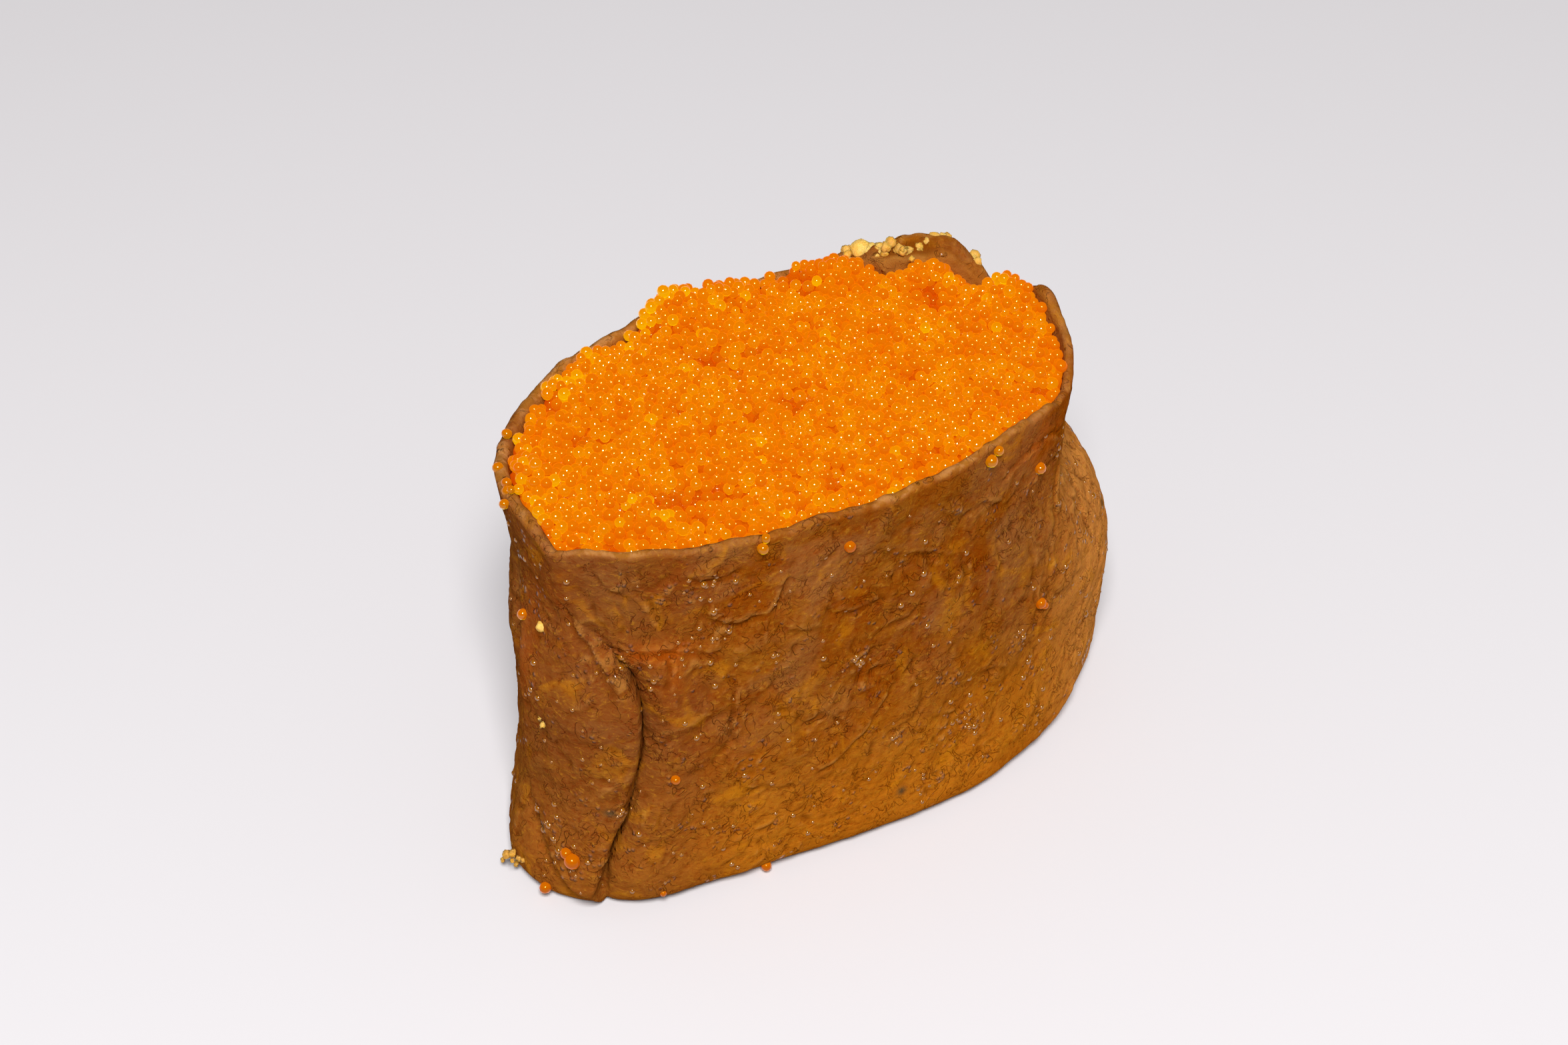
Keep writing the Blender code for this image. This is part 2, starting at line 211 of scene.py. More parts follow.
def ease(start, end, value):
    """Rise smoothly from 0 at start to 1 at end."""
    part = np.clip((value - start) / (end - start), 0.0, 1.0)
    return part * part * (3.0 - 2.0 * part)


def hill(value, centre, half_width):
    """A smooth hill of height 1."""
    return np.exp(-((value - centre) / half_width) ** 2)


def turn(direction, centre):
    """The angle in degrees from centre to direction, the short way round."""
    return (direction - centre + 180.0) % 360.0 - 180.0


def waves(direction, hills):
    """The sum of hills round the pouch, each as (direction, half width, height)."""
    return sum(height * hill(turn(direction, centre), 0.0, width) for centre, width, height in hills)


def through(knots, value):
    """A smooth curve through (place, size) pairs."""
    places = np.array([place for place, _ in knots], float)
    sizes = np.array([size for _, size in knots], float)
    slopes = np.array([(sizes[min(i + 1, len(knots) - 1)] - sizes[max(i - 1, 0)])
                       / (places[min(i + 1, len(knots) - 1)] - places[max(i - 1, 0)])
                       for i in range(len(knots))])
    value = np.clip(value, places[0], places[-1])
    low = np.clip(np.searchsorted(places, value, side="right") - 1, 0, len(knots) - 2)
    span = places[low + 1] - places[low]
    part = (value - places[low]) / span
    square, cube = part * part, part ** 3
    return ((2 * cube - 3 * square + 1) * sizes[low] + (cube - 2 * square + part) * span * slopes[low]
            + (3 * square - 2 * cube) * sizes[low + 1] + (cube - square) * span * slopes[low + 1])


def rim_height(angle):
    """The height of the rim above the ground, for angles in degrees round the oval."""
    ripples = sum(size * np.sin(np.radians(count * angle + start)) for count, start, size in RIM_RIPPLES)
    return RIM_HEIGHT + waves(angle, RIM_WAVES) + ripples


def oval(angle, up):
    """Points of the smooth oval, for angles in degrees and fractions of the height."""
    across, along = np.cos(np.radians(angle)), np.sin(np.radians(angle))
    left, front = across < 0, along < 0
    base = np.where(left, np.where(front, SQUARE_FRONT_LEFT[0], SQUARE_BACK_LEFT[0]),
                    np.where(front, SQUARE_FRONT_RIGHT[0], SQUARE_BACK_RIGHT[0]))
    gain = np.where(left, np.where(front, SQUARE_FRONT_LEFT[1], SQUARE_BACK_LEFT[1]),
                    np.where(front, SQUARE_FRONT_RIGHT[1], SQUARE_BACK_RIGHT[1]))
    power = 2.0 / (base + gain * up)
    reach = np.where(left, through(LEFT_REACH, up), through(RIGHT_REACH, up))
    depth = np.where(front, through(FRONT_REACH, up), through(BACK_REACH, up))
    forward = np.where(left, LEFT_TIP_FORWARD[0] + LEFT_TIP_FORWARD[1] * up, RIGHT_TIP_FORWARD)
    corner = CORNER[2] * hill(turn(angle, CORNER[0]), 0, CORNER[1]) * ease(0.6, 1.0, up)
    foot = FOOT[2] * hill(turn(angle, FOOT[0]), 0, FOOT[1]) * (1 - ease(0.0, 0.35, up))
    x = reach * np.sign(across) * np.abs(across) ** power
    y = depth * np.sign(along) * np.abs(along) ** power - forward * np.abs(across) ** 3
    return x - CORNER_WAY[0] * corner, y - CORNER_WAY[1] * corner - foot


def outward(angle, up):
    """The direction square to the oval, pointing out."""
    step = 0.6
    x1, y1 = oval(angle + step, up)
    x0, y0 = oval(angle - step, up)
    length = np.hypot(x1 - x0, y1 - y0)
    return (y1 - y0) / length, -(x1 - x0) / length


def folds(x, y, height):
    """How far the folds push the skin out or in, and how far the tongue's edge leans over."""
    direction = np.degrees(np.arctan2(y, x)) % 360.0
    left = through(TONGUE_LEFT, height)
    right = through(TONGUE_RIGHT, height)
    past = direction - right
    fade = 1.0
    for share, start, end in CREASE_GOES:
        fade = fade - share * ease(start, end, height)
    fade = fade * (CREASE_FOOT + (1 - CREASE_FOOT) * ease(*CREASE_COMES, height))
    crease = (-CREASE_DEPTH * ease(-0.5, 0.4, past)
              * np.exp(-np.clip(past, 0, None) / CREASE_RECOVERY) * fade)
    beside = SWELLING[0] * hill(past, *SWELLING[1:]) * fade
    shown = ease(*TONGUE_COMES, height) * (1.0 - ease(*TONGUE_GOES, height))
    tongue = (TONGUE_RISE * ease(left - 0.6, left + 0.9, direction)
              * (1 - ease(right - 0.8, right + 0.4, direction)))
    valley = (-VALLEY_DEPTH * hill(direction, left - VALLEY_AWAY, VALLEY_WIDTH)
              * ease(*VALLEY_COMES, height) * (1 - ease(*VALLEY_GOES, height)))
    ear = EAR[4] * hill(direction, *EAR[:2]) * hill(height, *EAR[2:4])
    pinch = PINCH[4] * hill(turn(direction, PINCH[0]), 0.0, PINCH[1]) * hill(height, *PINCH[2:4])
    lean = (TONGUE_LEAN * hill(past, -0.6, 1.6)
            * ease(*LEAN_COMES, height) * (1.0 - ease(*LEAN_GOES, height)))
    return crease + beside + tongue * shown + valley + ear + pinch, lean


def quarter_inset(height, radius):
    """How far a rounded lower edge draws in at a height above its lowest point."""
    left_over = np.clip(radius - height, 0.0, radius)
    return radius - np.sqrt(radius * radius - left_over * left_over)


def wall(angle, up, inset, floor, round_radius):
    """Points of a wall, inset from the skin's outer face. The lining follows only what is pushed in."""
    height = up * rim_height(angle)
    x, y = oval(angle, up)
    across, along = outward(angle, up)
    push, lean = folds(x, y, height)
    within = inset > 0.4 * SKIN
    push = np.where(within, 0.8 * np.minimum(push, 0.0), push)
    lean = np.where(within, 0.0, lean)
    push = push - inset - quarter_inset(height - floor, round_radius)
    return np.stack([x + across * push - along * lean, y + along * push + across * lean, height],
                    axis=-1)


def rim_width(angle):
    """How wide the cut edge of the skin is."""
    return RIM_WIDTH + waves(angle, RIM_WIDTH_WAVES)


def inner_inset(angle, up):
    """How far the lining stands in from the outer face: the skin thins towards its cut edge."""
    return SKIN + (rim_width(angle) - SKIN) * ease(0.82, 1.0, up)


def girth():
    """Angles round the oval in small steps, with the distance walked at each."""
    angle = np.linspace(0, 360, 3601)
    x, y = oval(angle, np.full_like(angle, 0.6))
    return angle, np.concatenate([[0.0], np.cumsum(np.hypot(np.diff(x), np.diff(y)))])


def frame_shift():
    """What moves the form so that its box has the same middle as the solid's."""
    angle, up = np.meshgrid(np.linspace(0, 360, 361), np.linspace(0, 1, 60))
    points = wall(angle, up, 0.0, 0.0, BASE_ROUND).reshape(-1, 3)
    middle = (points.min(0) + points.max(0)) / 2
    target = (SKIN_BOX[0] + SKIN_BOX[1]) / 2 / MM
    return np.array([target.x - middle[0], target.y - middle[1], SKIN_BOX[0].z / MM])


GIRTH_ANGLES, GIRTH_WALK = girth()
GIRTH = GIRTH_WALK[-1]
SHIFT = frame_shift()


def noise_at(points, span, offset=0.0):
    """Smooth noise between about -1 and 1, with lumps of the given span."""
    moved = (points / span + offset).tolist()
    return np.array([noise.noise(point) for point in moved])


def cell_edges(points, span, offset=0.0):
    """0 on the borders of irregular cells of the given span, rising to 1 inside them."""
    moved = (points / span + offset).tolist()
    found = [noise.voronoi(point)[0] for point in moved]
    return np.array([near[1] - near[0] for near in found])


def blank_slate():
    """Deselect everything, so that operators act on new pieces only."""
    bpy.ops.object.select_all(action="DESELECT")


def active_piece(name):
    """Name the primitive that was just added."""
    piece = bpy.context.object
    piece.name = name
    piece.data.name = name
    return piece


def give_values(piece, name, values):
    """Store one number a vertex for the materials."""
    layer = piece.data.attributes.new(name, "FLOAT", "POINT")
    layer.data.foreach_set("value", np.asarray(values, np.float32))


# ---- The tofu skin ----

def skin_rows():
    """The rows of the skin, from the underside up the outside, over the rim and down the lining.

    Each is (fraction of the height, share of the way in), or the distance in on the underside."""
    rows = [(0.0, distance) for distance in UNDERSIDE]
    rows += [(0.3 * part ** 1.7 + 0.7 * part, 0.0) for part in np.linspace(0, 1, OUTER_ROWS + 1)]
    rows += [(1.0, part) for part in np.linspace(0, 1, RIM_ROWS + 1)[1:-1]]
    rows += [(1.0 - (1.0 - FLOOR / RIM_HEIGHT) * (0.12 * part + 0.88 * part ** 2.6), 1.0)
             for part in np.linspace(0, 1, LINING_ROWS + 1)]
    return np.array(rows)


def skin_columns():
    """The distance walked round the pouch at each column, closer together at the front."""
    back = np.interp(BACK_ENDS, GIRTH_ANGLES, GIRTH_WALK)
    behind = int(AROUND * (1 - FRONT_SHARE))
    return np.concatenate([np.linspace(0, back, behind, endpoint=False),
                           np.linspace(back, GIRTH, AROUND - behind, endpoint=False)])


def shape_skin(angle, row):
    """Places of the skin's points, for angles round the oval and row numbers."""
    rows = skin_rows()
    up, share = rows[row, 0], rows[row, 1]
    underside = row < len(UNDERSIDE)
    outer = wall(angle, up, 0.0, 0.0, BASE_ROUND)
    inner = wall(angle, up, inner_inset(angle, up), FLOOR, FLOOR_ROUND)
    across, along = outward(angle, up)
    mixed = outer * (1 - share)[..., None] + inner * share[..., None]
    mixed[..., 2] += RIM_CROWN * rim_width(angle) * np.sin(np.pi * np.clip(share, 0, 1)) * ~underside
    under = outer - np.stack([across * share, along * share, np.zeros_like(share)], axis=-1)
    return np.where(underside[..., None], under, mixed) + SHIFT


def grid_normals(points):
    """The outward direction at each point of a grid of columns round the pouch."""
    around = np.roll(points, -1, axis=0) - np.roll(points, 1, axis=0)
    along = np.gradient(points, axis=1)
    normal = np.cross(around, along)
    return normal / np.maximum(np.linalg.norm(normal, axis=-1, keepdims=True), 1e-9)


def blurred(values, times):
    """Average each value of a grid with its neighbours, several times over."""
    for _ in range(times):
        values = (2 * values + np.roll(values, 1, 0) + np.roll(values, -1, 0)) / 4
        padded = np.pad(values, ((0, 0), (1, 1)), mode="edge")
        values = (2 * values + padded[:, :-2] + padded[:, 2:]) / 4
    return values


def around_to(walks, walk):
    """The distance round the pouch from one walked distance to others, the short way."""
    return (walks - walk + GIRTH / 2) % GIRTH - GIRTH / 2


def stroke_line(places, steps=28):
    """A smooth line through (degrees, height) places, as distances walked and heights."""
    walked = np.interp([place[0] for place in places], GIRTH_ANGLES, GIRTH_WALK)
    heights = np.array([place[1] for place in places], float)
    knots = np.linspace(0, 1, len(places))
    along = np.linspace(0, 1, steps)
    return (through(tuple(zip(knots, walked)), along), through(tuple(zip(knots, heights)), along))


def stroke(walked, height, line_walk, line_height):
    """Which points are near a line, how far from it (plus on its left), and how far along it."""
    middle = line_walk.mean()
    flat = around_to(walked, middle)
    line = line_walk - middle
    near = ((flat > line.min() - 5) & (flat < line.max() + 5)
            & (height > line_height.min() - 5) & (height < line_height.max() + 5))
    s, z = flat[near][:, None], height[near][:, None]
    ax, az = line[:-1][None], line_height[:-1][None]
    bx, bz = np.diff(line)[None], np.diff(line_height)[None]
    part = np.clip(((s - ax) * bx + (z - az) * bz) / np.maximum(bx * bx + bz * bz, 1e-9), 0, 1)
    dx, dz = s - ax - part * bx, z - az - part * bz
    apart = dx * dx + dz * dz
    best = np.argmin(apart, axis=1)
    pick = (np.arange(len(best)), best)
    side = np.sign(bx[0][best] * dz[pick] - bz[0][best] * dx[pick])
    return near, np.sqrt(apart[pick]) * side, (best + part[pick]) / (len(line) - 1)


def random_creases():
    """More creases of the same kind, scattered over the whole skin."""
    random = np.random.default_rng(CREASE_SEED)
    found = []
    for _ in range(RANDOM_CREASES):
        walk, height = random.uniform(0, GIRTH), random.uniform(3, WRINKLED[1])
        heading = random.choice([random.normal(0.3, 0.5), random.normal(1.5, 0.5)])
        length = 0.8 + random.exponential(1.5)
        bow = random.normal(0, 0.16) * length
        along = np.linspace(-0.5, 0.5, 16)
        sideways = bow * (1 - 4 * along ** 2) + 0.05 * length * np.sin(along * 9 + random.uniform(0, 6))
        found.append((random.uniform(0.06, 0.24), random.uniform(0.02, 0.12) * random.choice([1, 1, -1]),
                      walk + along * length * math.cos(heading) - sideways * math.sin(heading),
                      height + along * length * math.sin(heading) + sideways * math.cos(heading)))
    return found


def creased(walked, height):
    """The creases' relief in millimetres, and how deep in a crease each point lies (0 to 1)."""
    relief, deep = np.zeros_like(walked), np.zeros_like(walked)
    flat = np.stack([walked, height, np.zeros_like(walked)], axis=1)
    patchy = 0.35 + 1.1 * ease(-0.35, 0.35, noise_at(flat, 1.5, 55.0))
    walked = walked + CREASE_WOBBLE * noise_at(flat, 1.6, 12.5)
    height = height + CREASE_WOBBLE * noise_at(flat, 1.6, 28.5)
    told = [(depth, step, *stroke_line(places)) for depth, step, *places in CREASES]
    for depth, step, line_walk, line_height in told + random_creases():
        near, apart, along = stroke(walked, height, line_walk, line_height)
        taper = np.sqrt(np.clip(np.sin(np.pi * np.clip(along, 0.02, 0.98)), 0, 1))
        rise = ease(0.0, 0.45, np.sign(step) * apart) * np.exp(-np.abs(apart) / 1.1)
        groove = hill(apart, -0.1 * np.sign(step), 0.14 + 0.07 * patchy[near])
        relief[near] += taper * (0.7 * abs(step) * rise - 0.6 * depth * groove * patchy[near])
        shaded = hill(apart, -0.15 * np.sign(step), 0.13 + 0.10 * patchy[near])
        shaded = shaded * np.minimum(patchy[near], 1.0)
        deep[near] = np.maximum(deep[near], taper * min(1.0, depth / 0.5) * shaded)
    return relief, deep


def blistered(walked, height):
    """Small wet blisters: their relief in millimetres and where they are."""
    random = np.random.default_rng(BLISTER_SEED)
    spots = []
    for direction, level, spread, count in BLISTERS:
        centre = np.interp(direction, GIRTH_ANGLES, GIRTH_WALK)
        spots += [(centre + spread * random.normal() * 0.6, level + spread * random.normal() * 0.4,
                   random.uniform(0.3, 0.5)) for _ in range(count)]
    spots += [(random.uniform(0, GIRTH), random.uniform(*WRINKLED), random.uniform(0.22, 0.4))
              for _ in range(LOOSE_BLISTERS)]
    relief, wet = np.zeros_like(walked), np.zeros_like(walked)
    for walk, level, size in spots:
        flat = around_to(walked, walk)
        near = (np.abs(flat) < 1.6) & (np.abs(height - level) < 1.6)
        away = np.hypot(flat[near], height[near] - level)
        relief[near] = np.maximum(relief[near], 0.4 * size * hill(away, 0, size))
        wet[near] = np.maximum(wet[near], hill(away, 0, 1.6 * size))
    return relief, wet


def stepped(noise_values, steps, edge):
    """Noise cut into plates with soft edges."""
    steps_up = steps * noise_values
    return (np.floor(steps_up) + ease(0.0, edge, steps_up - np.floor(steps_up))) / steps


def leathery(points):
    """The relief of the simmered skin in millimetres: lumps, plates and grain."""
    bend = np.stack([noise_at(points, 3.6, offset) for offset in (0.0, 11.3, 23.7)], axis=1)
    bent = points + 1.5 * bend
    lumps = noise_at(points, 9.0, 5.0)
    swell = noise_at(bent, 3.6, 15.0)
    flakes = stepped(noise_at(bent, 7.5, 31.0), 2.4, 0.18)
    strength = ease(-0.2, 0.45, noise_at(points, 6.0, 47.0))
    wide = 1 - ease(0.0, 0.10, cell_edges(bent, 5.6, 3.0))
    grain = noise_at(bent, 1.2, 61.0)
    strands = noise_at(bent * np.array([0.5, 0.5, 1.5]), 0.9, 71.0)
    x, y, z = bent[:, 0], bent[:, 1], bent[:, 2]
    slanted = np.stack([0.35 * (x + z), 0.7 * y, 0.9 * (z - x)], axis=1)
    scales = stepped(noise_at(slanted, 2.6, 83.0), 2.6, 0.30)
    return (0.26 * lumps + 0.10 * swell + 0.17 * flakes + 0.30 * scales * (0.4 + 0.6 * strength)
            - 0.07 * wide * strength + 0.04 * grain + 0.05 * strands)


def skin_sheet(rows):
    """A flat sheet for the skin, with the column and the row of each of its points."""
    blank_slate()
    bpy.ops.mesh.primitive_grid_add(x_subdivisions=AROUND, y_subdivisions=rows, size=1.0)
    skin = active_piece("tofu_skin")
    flat = np.empty(len(skin.data.vertices) * 3)
    skin.data.vertices.foreach_get("co", flat)
    flat = flat.reshape(-1, 3)
    column = np.rint((flat[:, 0] + 0.5) * AROUND).astype(int) % AROUND
    return skin, column, np.rint((flat[:, 1] + 0.5) * rows).astype(int)


def tofu_skin():
    """The pouch: one sheet of skin wrapped into shape, with its cut rim, lining and underside."""
    rows = len(skin_rows()) - 1
    skin, column, row = skin_sheet(rows)
    walk = skin_columns()
    angles, levels = np.meshgrid(np.interp(walk, GIRTH_WALK, GIRTH_ANGLES), np.arange(rows + 1),
                                 indexing="ij")
    walks = np.repeat(walk[:, None], rows + 1, axis=1)
    points = shape_skin(angles, levels)
    height = points[..., 2]
    below_rim = rim_height(angles) - height
    last_outside = len(UNDERSIDE) + OUTER_ROWS
    outside = (levels >= len(UNDERSIDE)) & (levels <= last_outside)
    lining = levels >= last_outside + RIM_ROWS
    cut = ~outside & ~lining & (levels > len(UNDERSIDE))
    near_rim = ease(2.2, 0.0, below_rim)
    rolled = hill(turn(angles, ROLLED[0]), 0, ROLLED[1])
    amount = np.where(outside, ease(0.0, 2.5, height) * (1 - 0.5 * near_rim),
                      np.where(lining, 0.5, np.where(cut, 0.6 + rolled, 0.0)))
    amount = blurred(amount, 2) * (levels >= len(UNDERSIDE))
    on_outside = blurred(outside.astype(float), 1) * amount

    folded, deep = creased(walks.ravel(), height.ravel())
    blister, wet = blistered(walks.ravel(), height.ravel())
    folded, deep, blister, wet = (values.reshape(angles.shape) for values in (folded, deep, blister, wet))
    relief = leathery(points.reshape(-1, 3)).reshape(angles.shape) * amount
    relief += (folded + blister) * on_outside
    relief += rolled_lumps(points, rolled, below_rim, near_rim, cut, lining)
    points = points + grid_normals(points) * relief[..., None]
    points[..., 2] += ragged_rim(walk)[:, None] * ease(3.0, 0.0, below_rim)
    points[..., 2] = np.maximum(points[..., 2], 0.0)
    skin.data.vertices.foreach_set("co", (points[column, row] * MM).ravel())

    # Hollows in the relief give the painted shade in creases, and raised ridges give a painted highlight.
    hollow = np.clip((blurred(relief, 6) - relief) / 0.14, -1.0, 1.0)
    stained, specks = stains_and_flecks(angles, walks, height)
    for name, values in (("crease", np.maximum(deep * on_outside, np.clip(hollow, 0, 1) * 0.8)),
                         ("ridge", np.clip(-hollow, 0, 1)), ("wet", wet * on_outside),
                         ("cut_edge", blurred(cut * (1 - rolled), 1)), ("stain", stained),
                         ("fleck", specks), ("lining", blurred(lining.astype(float), 1))):
        give_values(skin, name, values[column, row])
    close_up()
    return skin, droplet_spots(points, grid_normals(points), walks, height, deep, outside)


def ragged_rim(walk):
    """How far the cut rim rises and sinks along the distance walked round it."""
    line = np.stack([walk, walk * 0, walk * 0], axis=1)
    return sum(noise_at(line, span, offset) * rise for span, offset, rise in RAGGED)


def stains_and_flecks(angles, walks, height):
    """Where orange liquid has soaked in, and where flecks of seasoning lie."""
    stained = sum(strength * hill(turn(angles, place), 0, wide) * hill(height, level, tall)
                  for place, level, wide, tall, strength in STAINS)
    specks = sum(hill(np.hypot(walks - np.interp(place, GIRTH_ANGLES, GIRTH_WALK), height - level), 0, size)
                 for place, level, size in FLECKS)
    return stained, specks


def rolled_lumps(points, rolled, below_rim, near_rim, cut, lining):
    """The lumps of the rolled stretch of rim."""
    lumpy = rolled * np.where(cut | lining, ease(5.0, 1.5, below_rim), near_rim)
    spots = points.reshape(-1, 3)
    lumps = 0.55 * noise_at(spots, 2.3, 91.0) + 0.30 * noise_at(spots, 1.1, 97.0)
    return lumpy * (0.8 * lumps.reshape(rolled.shape) + 0.5 * lining)


def droplets(spots):
    """Drops of the simmering liquid on the skin."""
    return spread_eggs("skin_droplets", spots[:, :3], spots[:, 3], DROPLET_SEED)


def droplet_spots(points, normals, walks, height, deep, outside):
    """Where drops of the simmering liquid sit: mostly in creases, then in the clusters.

    Each is (x, y, z, size), sunk a little into the skin."""
    random = np.random.default_rng(DROPLET_SEED)
    columns, rows = np.nonzero(outside & (height > DAMP[0]) & (height < DAMP[1]))
    wish = 0.10 + deep[columns, rows] ** 2
    picked = list(random.choice(len(columns), DROPLETS, replace=False, p=wish / wish.sum()))
    for direction, level, spread, count in BLISTERS:
        centre = np.interp(direction, GIRTH_ANGLES, GIRTH_WALK)
        for _ in range(count):
            walk, at = centre + 0.45 * spread * random.normal(), level + 0.35 * spread * random.normal()
            apart = around_to(walks[columns, rows], walk)
            picked.append(np.argmin(apart ** 2 + (height[columns, rows] - at) ** 2))
    columns, rows = columns[picked], rows[picked]
    size = DROPLET_SIZE + DROPLET_SPREAD * random.uniform(0, 1, len(picked)) ** 2
    places = points[columns, rows] - normals[columns, rows] * size[:, None] * DROPLET_SINK - SHIFT
    return np.concatenate([places, size[:, None]], axis=1)


def close_up():
    """Join the seam of the wrapped grid that was just made, close its two ends and face it outwards."""
    bpy.ops.object.mode_set(mode="EDIT")
    bpy.ops.mesh.select_all(action="SELECT")
    bpy.ops.mesh.remove_doubles(threshold=1e-6)
    bpy.ops.mesh.select_all(action="DESELECT")
    bpy.ops.mesh.select_mode(type="EDGE")
    bpy.ops.mesh.select_non_manifold(extend=False, use_wire=False, use_multi_face=False,
                                     use_non_contiguous=False, use_verts=False)
    bpy.ops.mesh.edge_face_add()
    bpy.ops.mesh.select_all(action="SELECT")
    bpy.ops.mesh.normals_make_consistent(inside=False)
    bpy.ops.object.mode_set(mode="OBJECT")
    bpy.ops.object.shade_smooth()


# ---- The roe ----

EGG = 1.10
EGG_SIZES = (0.86, 1.16)
EGG_SEED = 4
EGGS = 5700
# The eggs fill the heap to this depth under its top. The core's top lies a little higher than that.
SHELL = 2.4
CORE_DROP = 1.7
# How unevenly high the uppermost eggs lie.
CEILING_SPREAD = 0.20
# The share of the core's grid that makes its side, and how high its lumps stand.
CORE_SIDE = 0.25
CORE_LUMPS = 0.3
# The half length and half depth that eggs are scattered over.
SCATTER = (36, 18)
# How many times the eggs are pushed apart, after how many pushes the close pairs are looked up again,
# and the longest push. Eggs may come as near as this share of the sum of their sizes.
PUSHES, LOOK_UP, LONGEST_PUSH = 48, 4, 0.3
CLOSE_PAIR = 1.6 * EGG
TOUCHING = 0.41
# Eggs less than this under the rim may lie out over it, and are then lifted this far above it.
SPILL_DEPTH, SPILL_LIFT = 0.7, 0.2
# The depths at which painted shade starts on an egg under others, and is full.
SHADED = (0.7, 1.9)

# Small pits where an egg or two are missing.
PITS = 66
PIT_DEPTH = 2.2
PIT_WIDTHS = (0.5, 0.9)
PIT_SEED = 31
# Sunken lines in the heap's top, each as its depth and its (x, y) places.
GULLY_WIDTH = 0.85
GULLIES = (
    (1.6, (-24, 4.5), (-20.3, 3), (-17, 1)),
    (1.9, (-3.6, -2.0), (-4.6, -3.9)),
    (1.2, (-8, 6), (-6, 7)),
    (1.3, (-21, -7.5), (-17, -8.5), (-14, -10.5)),
    (1.3, (17, -10), (14, -11)),
    (0.9, (6, 3), (9, 1.5)),
    (1.2, (20, 7.5), (23, 4.5)),
)


def mouth_outline():
    """The inner outline of the skin at the mouth, as directions and distances from the middle."""
    angle = np.linspace(0, 360, 721)
    edge = rim_height(angle) + ROE_EDGE + waves(angle, ROE_EDGE_WAVES)
    up = edge / rim_height(angle)
    points = wall(angle, up, inner_inset(angle, up) + 0.1, FLOOR, FLOOR_ROUND)
    direction = np.degrees(np.arctan2(points[:, 1], points[:, 0])) % 360.0
    order = np.argsort(direction)
    return direction[order], np.hypot(points[:, 0], points[:, 1])[order], points[order, 2]


MOUTH = mouth_outline()


def mouth_reach(x, y):
    """How far the mouth reaches in the direction of each point, and the roe's height there."""
    direction = np.degrees(np.arctan2(y, x)) % 360.0
    return (np.interp(direction, MOUTH[0], MOUTH[1], period=360.0),
            np.interp(direction, MOUTH[0], MOUTH[2], period=360.0))


def heap_height(x, y):
    """The height of the heap's smooth top."""
    reach, edge = mouth_reach(x, y)
    out = np.clip(np.hypot(x, y) / reach, 0.0, 1.0)
    mound = sum(rise * hill(np.hypot(x - at_x, y - at_y), 0.0, width)
                for at_x, at_y, width, rise in ROE_MOUNDS)
    dome = ROE_DOME * (1 - out ** 2.2)
    smooth = edge * out ** 2 + RIM_HEIGHT * (1 - out ** 2) + dome + mound
    flat = np.stack([x, y, np.zeros_like(x)], axis=1)
    clumps = np.clip(2.2 * noise_at(flat, 4.2, 17.0), -1, 1)
    return smooth + 0.45 * clumps


def pit_depth(x, y):
    """How far the heap's top sinks in its gullies and pits."""
    random = np.random.default_rng(PIT_SEED)
    pits = [(random.uniform(-30, 26), random.uniform(-14, 14), random.uniform(*PIT_WIDTHS))
            for _ in range(PITS)]
    return (sum(depth * gully(x, y, line) for depth, *line in GULLIES)
            + sum(PIT_DEPTH * hill(np.hypot(x - at_x, y - at_y), 0.0, width) for at_x, at_y, width in pits))


def gully(x, y, line):
    """1 along a line on the heap's top, falling to 0 beside it."""
    nearest = np.full_like(x, 1e9)
    for (ax, ay), (bx, by) in zip(line, line[1:]):
        part = ((x - ax) * (bx - ax) + (y - ay) * (by - ay)) / ((bx - ax) ** 2 + (by - ay) ** 2)
        part = np.clip(part, 0, 1)
        nearest = np.minimum(nearest, np.hypot(x - ax - part * (bx - ax), y - ay - part * (by - ay)))
    return hill(nearest, 0.0, GULLY_WIDTH)


def close_pairs(places):
    """The numbers of the eggs that lie close together, two by two."""
    tree = kdtree.KDTree(len(places))
    for index, place in enumerate(places.tolist()):
        tree.insert(place, index)
    tree.balance()
    return np.array([(index, other) for index, place in enumerate(places.tolist())
                     for _, other, _ in tree.find_range(place, CLOSE_PAIR) if other > index])


def pushes_apart(places, size, pairs):
    """How far each egg moves away from those that it overlaps."""
    one, two = pairs[:, 0], pairs[:, 1]
    apart = places[two] - places[one]
    distance = np.maximum(np.linalg.norm(apart, axis=1), 1e-6)
    push = np.clip(TOUCHING * (size[one] + size[two]) - distance, 0.0, None) * 0.5
    move = apart / distance[:, None] * push[:, None]
    shift = np.zeros_like(places)
    np.add.at(shift, two, move)
    np.add.at(shift, one, -move)
    return np.clip(shift, -LONGEST_PUSH, LONGEST_PUSH)


